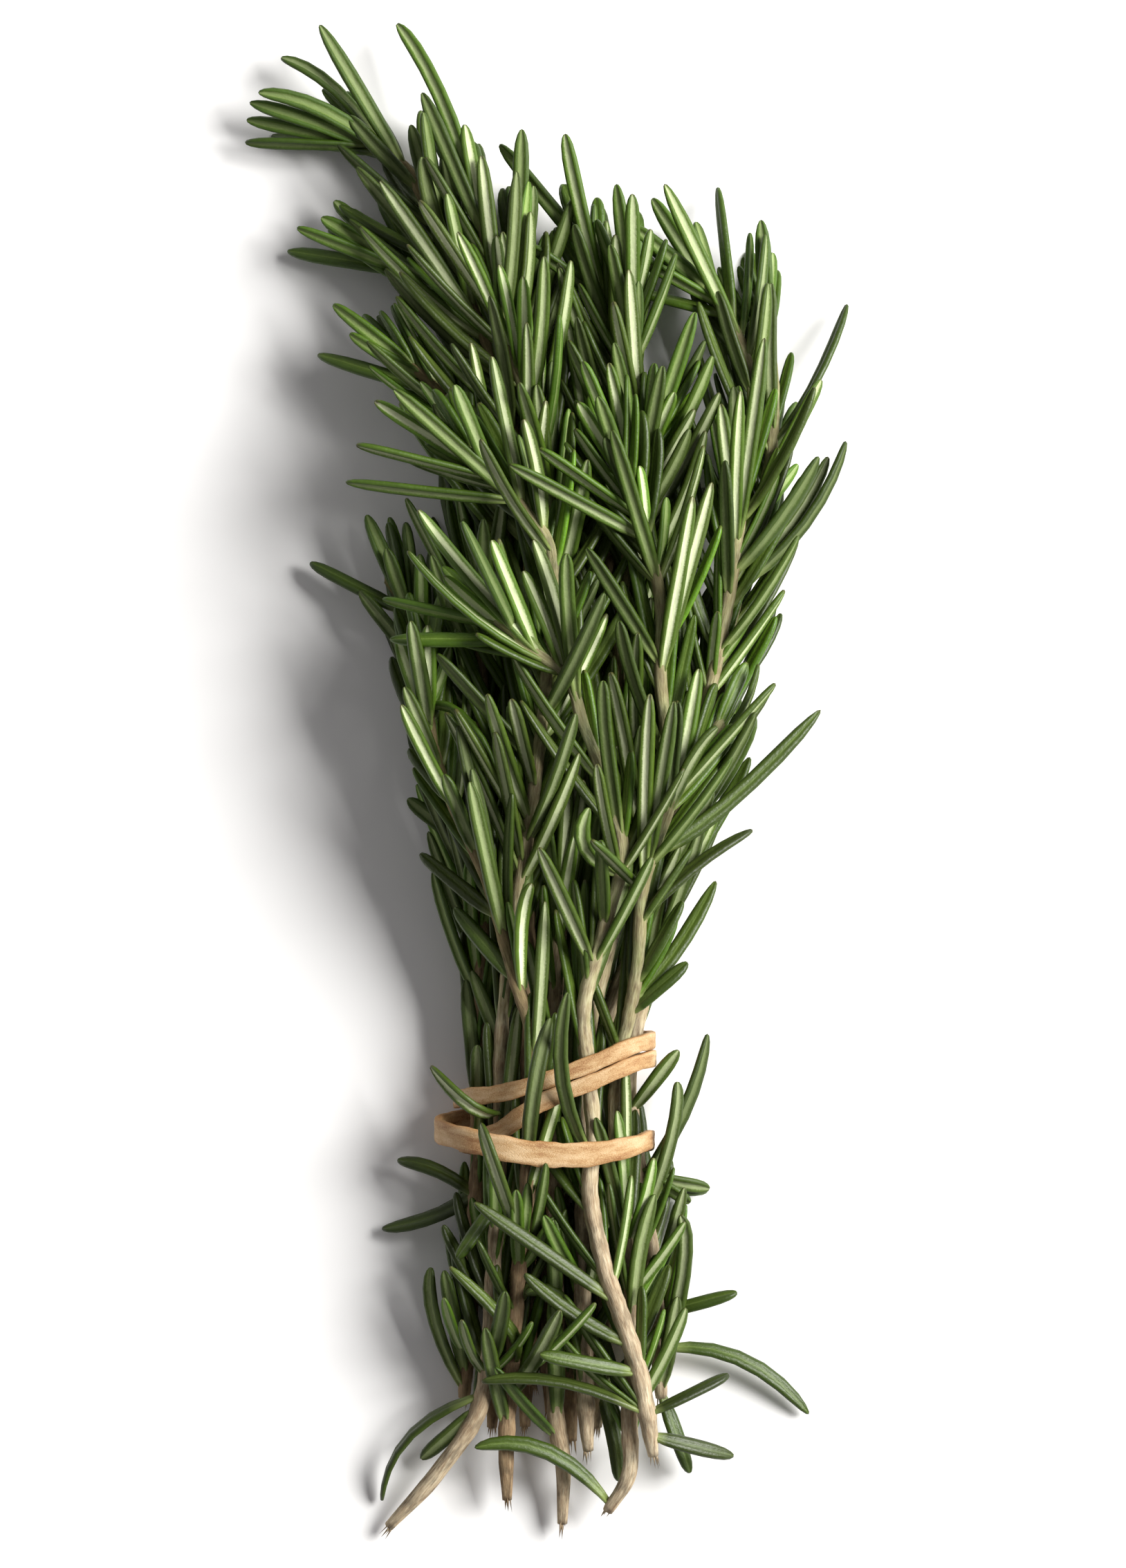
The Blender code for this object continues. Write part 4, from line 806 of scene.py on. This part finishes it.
class Crowd:
    """What already has its place, with the boxes in arrays so that thousands are sorted out at once."""

    def __init__(self, most=6000, far=1e9):
        self.low = np.full((most, 3), far)
        self.high = np.full((most, 3), -far)
        self.entries = []

    def add(self, owner, kind, solid):
        """Notes a solid that now has its place."""
        points = np.array([tuple(p) for p in solid[0]])
        self.low[len(self.entries)] = points.min(axis=0)
        self.high[len(self.entries)] = points.max(axis=0)
        self.entries.append((owner, kind, BVHTree.FromPolygons(*solid)))

    def clear_of(self, owner, guard, outer):
        """True where the guard clears every other sprig and the band, and outer its own sprig's leaves."""
        points = np.array([tuple(p) for p in guard[0]])
        meets = (self.low <= points.max(axis=0)).all(axis=1) & (self.high >= points.min(axis=0)).all(axis=1)
        tree = BVHTree.FromPolygons(*guard)
        outer_tree = BVHTree.FromPolygons(*outer)
        for i in np.nonzero(meets)[0]:
            other, kind, its_tree = self.entries[i]
            if other != owner and tree.overlap(its_tree):
                return False
            if other == owner and kind == "leaf" and outer_tree.overlap(its_tree):
                return False
        return True

    def take_first_free(self, owner, kept, tries, closer=False):
        """Keeps a sprig's first try that has room, by the solids' rule or by a closer one for fine leaves."""
        others_from, own_from, room, body = OTHERS_FROM, OWN_FROM, CLEARANCE, (LEAF_BELLY,)
        if closer:
            others_from, own_from, room = EXTRA_OTHERS_FROM, EXTRA_OWN_FROM, EXTRA_ROOM
            body = (LEAF_BELLY, LEAF_SHOULDER)
        for leaf in tries:
            guard = leaf_guard(leaf, (others_from, *body), room)
            if self.clear_of(owner, guard, leaf_guard(leaf, (own_from, *body), room / 3)):
                kept.append(leaf)
                whole = leaf_guard(leaf, (EXTRA_START, *body), 0) if closer else needle(leaf)
                self.add(owner, "leaf", whole)
                return True
        return False


def unit(vectors):
    """Rows of length one."""
    return vectors / np.linalg.norm(vectors, axis=-1, keepdims=True)


def add_piece(name, points, faces, colours, grain, material, node):
    """A piece with its colour facts and grain as point attributes, which rides on the root body."""
    mesh = bpy.data.meshes.new(name)
    mesh.from_pydata((np.asarray(points) * MM).tolist(), [], faces)
    mesh.polygons.foreach_set("use_smooth", [True] * len(mesh.polygons))
    facts = mesh.attributes.new("facts", "FLOAT_COLOR", "POINT")
    facts.data.foreach_set("color", np.asarray(colours, dtype=np.float32).ravel())
    grains = mesh.attributes.new("grain", "FLOAT_VECTOR", "POINT")
    grains.data.foreach_set("vector", np.asarray(grain, dtype=np.float32).ravel())
    mesh.materials.append(material)
    piece = bpy.data.objects.new(name, mesh)
    bpy.context.scene.collection.objects.link(piece)
    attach(piece, "root")
    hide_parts(node)


SHARES = np.array(LEAF_OUTLINE)
SECTION = np.array(LEAF_SECTION + [(-x, z, around) for x, z, around in LEAF_SECTION[-2:0:-1]])


def fine_leaf(draw, leaf):
    """Points of a fine leaf, none under the table, how far round and along each is, and its grain."""
    root, bow, tip = (np.array(p) for p in leaf["line"])
    t = SHARES[:, :1]
    centre = (1 - t) ** 2 * root + 2 * t * (1 - t) * bow + t ** 2 * tip
    along = unit((1 - t) * (bow - root) + t * (tip - bow))
    face = np.array(leaf["face"])
    face = unit(face - (along @ face)[:, None] * along)
    side = np.cross(along, face)
    turn = draw.uniform(-LEAF_TWIST, LEAF_TWIST) * (t - TWIST_PLACE)
    face, side = np.cos(turn) * face + np.sin(turn) * side, np.cos(turn) * side - np.sin(turn) * face
    length = np.linalg.norm(tip - root)
    wave = draw.uniform(*RANDOM_TURN)
    width = leaf["width"] / 2 * SHARES[:, 1] * (1 + EDGE_WAVE * np.sin(wave + EDGE_WAVES * SHARES[:, 0]))
    tall = np.minimum(1.0, SHARES[:, 1] ** 0.5) * leaf["width"] / LEAF_WIDTH
    across = width[:, None] * SECTION[None, :, 0]
    height = tall[:, None] * SECTION[None, :, 1]
    points = centre[:, None] + across[..., None] * side[:, None] + height[..., None] * face[:, None]
    points = np.concatenate([points.reshape(-1, 3), tip[None]])
    points[:, 2] += max(0.0, -points[:, 2].min())
    around = np.append(np.tile(SECTION[:, 2], len(SHARES)), 0.5)
    share = np.append(np.repeat(SHARES[:, 0], len(SECTION)), 1.0)
    grain_place = np.full(len(share), draw.uniform(0, GRAIN_SPREAD))
    return points, around, share, np.stack([np.append(across, 0.0), share * length, grain_place], axis=1)


def add_leaves(name, chosen, material):
    """All of a sprig's fine leaves as one piece."""
    draw = random.Random(name)
    rings, count = len(SHARES), len(SECTION)
    leaf_faces = ring_faces(rings, count) + tip_faces((rings - 1) * count, count, rings * count)
    leaf_faces.append(tuple(reversed(range(count))))
    points, faces, colours, grain = [], [], [], []
    for n, leaf in enumerate(chosen):
        spots, around, share, place = fine_leaf(draw, leaf)
        # Painted shade: each leaf's tone is drawn at random and lowered for leaves deep in the bundle, so
        # they come out darker and less pale below.
        unshaded_share = min(1.0, max(0.0, (leaf["line"][1].z - DEEP_SHADE_HEIGHT) / (UNSHADED_HEIGHT - DEEP_SHADE_HEIGHT)))
        tone = np.full(len(spots), draw.random() * (DEEP_SHADE_TONE + (1 - DEEP_SHADE_TONE) * unshaded_share))
        fresh = np.full(len(spots), leaf["fresh"])
        points.append(spots)
        colours.append(np.stack([around, share, tone, fresh], axis=1))
        grain.append(place)
        faces += [tuple(n * len(spots) + k for k in face) for face in leaf_faces]
    add_piece(name + "_leaves", np.concatenate(points), faces, np.concatenate(colours), np.concatenate(grain),
              material, name)


def splinters(draw, cut, radius, along, up, across):
    """Spikes round a stem's cut end: the four points of each, how dark it is, and its place in the grain."""
    for _ in range(SPLINTERS):
        angle = draw.uniform(*RANDOM_TURN)
        out = math.cos(angle) * up + math.sin(angle) * across
        foot = cut + SPLINTER_RING * radius * out + SPLINTER_ROOT * along
        thick = draw.uniform(*SPLINTER_RADIUS)
        ring = [foot + thick * (math.cos(a) * up + math.sin(a) * across) for a in SPLINTER_ANGLES]
        tip = foot - (SPLINTER_ROOT + draw.uniform(*SPLINTER_REACH)) * along
        tip += draw.uniform(*SPLINTER_AWAY) * out
        tip[2] = max(tip[2], 0.0)
        yield [*ring, tip], draw.random(), draw.uniform(0, SPLINTER_GRAIN)


def add_stem(name, route, chosen, material):
    """A sprig's fine stem: round, swollen at its nodes, grooved along, and cut off at its foot."""
    draw = random.Random(name)
    last = len(route) - 1
    line = np.array([tuple(p) for p in route])
    along = unit(np.gradient(line, axis=0))
    across = unit(np.cross(along, (0.0, 0.0, 1.0)))
    up = np.cross(across, along)
    places = np.arange(last + 1)
    swell = np.zeros(last + 1)
    for node in {root_place(route, leaf) for leaf in chosen}:
        swell = np.maximum(swell, np.exp(-((places - node) / NODE_REACH) ** 2))
    radius = np.array([stem_radius(k / last) for k in places]) * (NODE_WAIST + NODE_SWELL * swell)
    angles = np.arange(FINE_SIDES) * 2 * math.pi / FINE_SIDES
    first = draw.uniform(*RANDOM_TURN)
    ridges = 1 + GROOVE_DEPTH * np.cos(GROOVES * (angles + first) + GROOVE_TURN * places[:, None])
    reach = radius[:, None] * ridges
    high, wide = reach * np.cos(angles), reach * np.sin(angles)
    points = line[:, None] + high[..., None] * up[:, None] + wide[..., None] * across[:, None]
    points = points.reshape(-1, 3)
    grain = np.stack([high, wide, np.broadcast_to(places[:, None], high.shape)], axis=2).reshape(-1, 3)
    tone = STEM_PALENESS.get(name, STEM_DARKEST)
    facts = [np.repeat(places / last, FINE_SIDES), np.repeat(swell, FINE_SIDES)]
    colours = np.stack([*facts, np.full(len(points), tone), np.zeros(len(points))], axis=1)

    wood = line[0] + WOOD_SHARE * (points[:FINE_SIDES] - line[0]) + WOOD_DEPTH * along[0]
    start, tip = len(points), len(points) + FINE_SIDES
    faces = ring_faces(last + 1, FINE_SIDES) + tip_faces(last * FINE_SIDES, FINE_SIDES, tip)
    faces += [(start + k, start + (k + 1) % FINE_SIDES, (k + 1) % FINE_SIDES, k) for k in range(FINE_SIDES)]
    faces.append(tuple(reversed(range(start, tip))))
    points = np.concatenate([points, wood, line[-1:] + radius[-1] * along[-1:]])
    colours = np.concatenate([colours, np.tile([0.0, 0.0, tone, 1.0], (FINE_SIDES, 1)), colours[-1:]])
    grain = np.concatenate([grain, grain[:FINE_SIDES] * WOOD_SHARE, grain[-1:]])

    for spike, dark, place in splinters(draw, line[0], radius[0], along[0], up[0], across[0]):
        faces += [tuple(len(points) + k for k in face) for face in SPLINTER_FACES]
        points = np.concatenate([points, spike])
        colours = np.concatenate([colours, np.tile([0.0, dark, tone, 0.0], (4, 1))])
        grain = np.concatenate([grain, np.tile([0.0, 0.0, place], (4, 1))])
    add_piece(name + "_stem", points, faces, colours, grain, material, name)


def add_band(material):
    """The fine band: the strip of the solid with rounded edges and small changes of width."""
    frames = band_frames(FINE_BAND_RINGS)
    middle, side, outward = (np.array([tuple(frame[n]) for frame in frames]) for n in range(3))
    steps = np.linalg.norm(np.roll(middle, -1, axis=0) - middle, axis=1)
    run = np.concatenate([[0], np.cumsum(steps)[:-1]])
    width = np.array([frame[3] for frame in frames])
    width *= 1 + sum(size * np.sin(run * turn + start) for size, turn, start in BAND_WAVES)
    section = np.array(BAND_SECTION)
    across = width[:, None] / 2 * section[:, 0]
    out = np.broadcast_to(BAND_THICKNESS / 2 * section[:, 1], across.shape)
    points = middle[:, None] + across[..., None] * side[:, None] + out[..., None] * outward[:, None]
    grain = np.stack([across, out, np.broadcast_to(run[:, None], across.shape)], axis=2)
    colours = np.zeros((*across.shape, 4))
    colours[..., 0] = (section[:, 0] + 1) / 2
    add_piece("rubber_band_strip", points.reshape(-1, 3), ring_faces(len(run), len(section), closed=True),
              colours.reshape(-1, 4), grain.reshape(-1, 3), material, "rubber_band")


class Nodes:
    """A new material and short ways to add its nodes."""

    def __init__(self, name):
        self.material = bpy.data.materials.new(name)
        self.material.use_nodes = True
        self.tree = self.material.node_tree

    def feed(self, socket, value):
        """Links a socket to another one, or sets it to a plain value."""
        if isinstance(value, bpy.types.NodeSocket):
            self.tree.links.new(value, socket)
        else:
            socket.default_value = (*value, 1) if socket.type == "RGBA" else value

    def put(self, kind, inputs, **settings):
        """A new node with its settings, and with values or links for some of its inputs."""
        node = self.tree.nodes.new(kind)
        for key, value in settings.items():
            setattr(node, key, value)
        for key, value in inputs.items():
            self.feed(node.inputs[key], value)
        return node

    def read(self):
        """The four facts of a piece and its grain."""
        facts = self.put("ShaderNodeAttribute", {}, attribute_name="facts")
        parts = self.put("ShaderNodeSeparateColor", {"Color": facts.outputs["Color"]})
        grain = self.put("ShaderNodeAttribute", {}, attribute_name="grain")
        return *parts.outputs[:3], facts.outputs["Alpha"], grain.outputs["Vector"]

    def noise(self, vector, scale, detail=3.0, rough=0.55, stretch=None):
        """Noise in the grain, stretched along some of its ways."""
        if stretch:
            vector = self.put("ShaderNodeMapping", {"Vector": vector, "Scale": stretch}).outputs["Vector"]
        inputs = {"Vector": vector, "Scale": scale, "Detail": detail, "Roughness": rough}
        return self.put("ShaderNodeTexNoise", inputs).outputs["Fac"]

    def ramp(self, value, stops):
        """A colour ramp of (position, colour or grey) stops."""
        node = self.put("ShaderNodeValToRGB", {"Fac": value})
        elements = node.color_ramp.elements
        elements.remove(elements[-1])
        for n, (position, colour) in enumerate(stops):
            element = elements[0] if n == 0 else elements.new(position)
            element.position = position
            element.color = (*colour, 1) if isinstance(colour, tuple) else (colour, colour, colour, 1)
        return node.outputs["Color"]

    def mix(self, fac, a, b, how="MIX"):
        """A mixed colour. Each of fac, a and b is a socket or a plain value."""
        inputs = {0: fac, 6: a, 7: b}
        return self.put("ShaderNodeMix", inputs, data_type="RGBA", blend_type=how).outputs[2]

    def sums(self, how, *values):
        """What a sum, such as MULTIPLY, makes of sockets and plain numbers."""
        return self.put("ShaderNodeMath", dict(enumerate(values)), operation=how).outputs[0]

    def shifted(self, value, noise, reach):
        """A value moved up and down by noise."""
        return self.sums("ADD", value, self.sums("MULTIPLY", self.sums("SUBTRACT", noise, 0.5), reach))

    def bump(self, height, strength, distance, **before):
        """A bumped normal, over an earlier one where it is given as Normal."""
        inputs = {"Height": height, "Strength": strength, "Distance": distance, **before}
        return self.put("ShaderNodeBump", inputs).outputs["Normal"]

    def finish(self, colour, rough, specular, **normal):
        """The material, with its shader's inputs."""
        inputs = {"Base Color": colour, "Roughness": rough, "Specular IOR Level": specular, **normal}
        for key, value in inputs.items():
            self.feed(self.tree.nodes["Principled BSDF"].inputs[key], value)
        return self.material


def leaf_material():
    """Dark, slightly glossy green above with a paler groove, woolly and pale below between green margins, and
    darker with painted shade deep in the bundle.
    """
    n = Nodes("rosemary_leaf")
    around, share, tone, fresh, grain = n.read()
    streaks = n.noise(grain, 2.2, 4.0, stretch=(1.6, 0.25, 1.0))
    round_leaf = n.shifted(around, n.noise(grain, 5.5), 0.09)
    mature = n.ramp(round_leaf, [
        (0.0, (0.105, 0.15, 0.033)), (0.05, (0.064, 0.095, 0.015)), (0.2, (0.048, 0.071, 0.01)),
        (0.42, (0.033, 0.052, 0.005)), (0.52, (0.046, 0.074, 0.006)), (0.64, (0.046, 0.074, 0.006)),
        (0.74, (0.06, 0.095, 0.01)), (0.8, (0.15, 0.2, 0.06)), (1.0, (0.2, 0.26, 0.09))])
    young = n.ramp(round_leaf, [
        (0.0, (0.26, 0.4, 0.07)), (0.06, (0.12, 0.23, 0.015)), (0.2, (0.075, 0.165, 0.006)),
        (0.42, (0.065, 0.15, 0.005)), (0.52, (0.09, 0.2, 0.008)), (0.64, (0.09, 0.2, 0.008)),
        (0.74, (0.1, 0.22, 0.01)), (0.8, (0.25, 0.38, 0.07)), (1.0, (0.3, 0.45, 0.11))])
    wool = n.ramp(round_leaf, [(0.74, 0.0), (0.81, 0.85), (0.9, 1.0), (1.0, 0.9)])
    # The pale underside fades with the tone, which carries the painted shade of leaves deep in the bundle.
    pale = n.ramp(tone, [(0.2, 0.08), (0.62, 0.6), (1.0, 0.85)])
    colour = n.mix(n.sums("MULTIPLY", wool, pale), n.mix(fresh, mature, young), WOOL)
    # Each leaf's brightness: partly random, partly painted shade through its tone, times the streaks.
    light = n.sums("MULTIPLY_ADD", n.sums("FRACT", n.sums("MULTIPLY", tone, 7.3)), 0.36, 0.5)
    light = n.sums("MULTIPLY_ADD", tone, 0.62, light)
    light = n.sums("MULTIPLY", light, n.sums("MULTIPLY_ADD", streaks, 0.7, 0.65))
    grey = n.put("ShaderNodeCombineColor", {0: light, 1: light, 2: light})
    colour = n.mix(1.0, colour, grey.outputs["Color"], "MULTIPLY")
    colour = n.mix(n.ramp(share, [(0.0, 0.75), (0.07, 0.5), (0.2, 0.0)]), colour, LEAF_FOOT)
    colour = n.mix(n.ramp(n.shifted(share, tone, 0.05), [(0.975, 0.0), (1.0, 0.55)]), colour, DRY_TIP)
    rough = n.ramp(n.shifted(round_leaf, streaks, 0.1),
                   [(0.0, 0.5), (0.1, 0.4), (0.5, 0.42), (0.68, 0.6), (0.78, 0.95), (1.0, 0.8)])
    wrinkles = n.bump(n.noise(grain, 3.2, stretch=(1.0, 0.55, 1.0)), 0.35, 0.0002)
    normal = n.bump(n.noise(grain, 9.0, 2.0), 0.25, 0.0001, Normal=wrinkles)
    return n.finish(colour, rough, 0.45, Normal=normal)


def stem_material():
    """Pale brown bark in long fibres, greener towards the tip, darker at nodes, and pale wood at the cut."""
    n = Nodes("rosemary_stem")
    share, swell, paleness, cut, grain = n.read()
    fibres = n.noise(grain, 3.5, 5.0, 0.65, stretch=(1.0, 1.0, 0.1))
    patches = n.noise(grain, 0.9, stretch=(1.0, 1.0, 0.35))
    bark = n.ramp(fibres, [(0.3, (0.3, 0.2, 0.12)), (0.44, (0.55, 0.43, 0.28)), (0.6, (0.72, 0.61, 0.42)),
                           (0.75, (0.82, 0.74, 0.55))])
    green = n.ramp(fibres, [(0.3, (0.2, 0.24, 0.08)), (0.55, (0.42, 0.46, 0.22)), (0.75, (0.6, 0.62, 0.38))])
    colour = n.mix(n.ramp(n.shifted(share, patches, 0.5), [(0.3, 0.0), (0.8, 0.9)]), bark, green)
    colour = n.mix(1.0, colour, n.ramp(patches, [(0.38, 0.5), (0.52, 0.9), (0.62, 1.0)]), "MULTIPLY")
    colour = n.mix(paleness, n.mix(1.0, colour, DARK_BARK, "MULTIPLY"), colour)
    colour = n.mix(n.sums("MULTIPLY", swell, 0.35), colour, NODE_BARK)
    colour = n.mix(cut, colour, CUT_WOOD)
    return n.finish(colour, 0.8, 0.3, Normal=n.bump(fibres, 0.6, 0.0004))


def band_material():
    """Natural rubber: peach, with painted shade that makes it darker and more orange towards its edges, and a
    fine grain.
    """
    n = Nodes("tan_rubber")
    across, _, _, _, grain = n.read()
    cloud = n.noise(grain, 0.8, 4.0, stretch=(1.0, 1.0, 0.25))
    speck = n.noise(grain, 6.0, 4.0, 0.7)
    colour = n.ramp(n.sums("ADD", n.sums("MULTIPLY", cloud, 0.6), n.sums("MULTIPLY", speck, 0.4)),
                    [(0.36, (0.3, 0.13, 0.045)), (0.47, (0.5, 0.3, 0.13)), (0.6, (0.68, 0.48, 0.27))])
    # Painted shade: the strip darkens to deep orange towards both edges.
    edge_shade = n.ramp(across, [(0.0, 0.45), (0.12, 0.0), (0.88, 0.0), (1.0, 0.45)])
    return n.finish(n.mix(edge_shade, colour, BAND_EDGE_SHADE), 0.55, 0.4, Normal=n.bump(speck, 0.5, 0.0003))


def add_floor():
    """The plain pale table."""
    mesh = bpy.data.meshes.new("table")
    corners = [(x * TABLE_REACH, y * TABLE_REACH, 0) for x, y in ((-1, -1), (1, -1), (1, 1), (-1, 1))]
    mesh.from_pydata(corners, [], [(0, 1, 2, 3)])
    mesh.materials.append(Nodes("white_table").finish(TABLE_COLOUR, 0.9, 0.0))
    floor = bpy.data.objects.new("table", mesh)
    bpy.context.scene.collection.objects.link(floor)


def add_light(name, place, size, watts, colour):
    """A soft square light that looks at the middle of the bundle."""
    data = bpy.data.lights.new(name, "AREA")
    data.size = size
    data.energy = watts
    data.color = colour
    light = bpy.data.objects.new(name, data)
    light.location = place
    light.rotation_euler = (-Vector(place)).to_track_quat("-Z", "Y").to_euler()
    bpy.context.scene.collection.objects.link(light)


def set_stage():
    """The table, a soft key light from the right, a faint fill, a soft sky and the camera."""
    add_floor()
    for name, values in LIGHTS.items():
        add_light(name, *values)
    world = bpy.data.worlds.new("studio")
    world.use_nodes = True
    sky = world.node_tree.nodes["Background"].inputs
    sky["Color"].default_value = SKY_COLOUR
    sky["Strength"].default_value = SKY_STRENGTH
    bpy.context.scene.world = world
    bpy.context.scene.view_settings.view_transform = "Standard"
    lens = bpy.data.cameras.new("camera")
    lens.lens = CAMERA_LENS
    lens.sensor_width = CAMERA_SENSOR
    lens.clip_end = CAMERA_CLIP
    camera = bpy.data.objects.new("camera", lens)
    camera.location = Vector(CAMERA_PLACE) * MM
    bpy.context.scene.collection.objects.link(camera)
    bpy.context.scene.camera = camera


def dress():
    """Builds every fine piece."""
    routes, leaves, crowd = lay_out()
    add_extras(routes, leaves, crowd)
    green, bark = leaf_material(), stem_material()
    for name, route in routes.items():
        add_leaves(name, leaves[name], green)
        add_stem(name, route, leaves[name], bark)
    add_band(band_material())


dress()
set_stage()
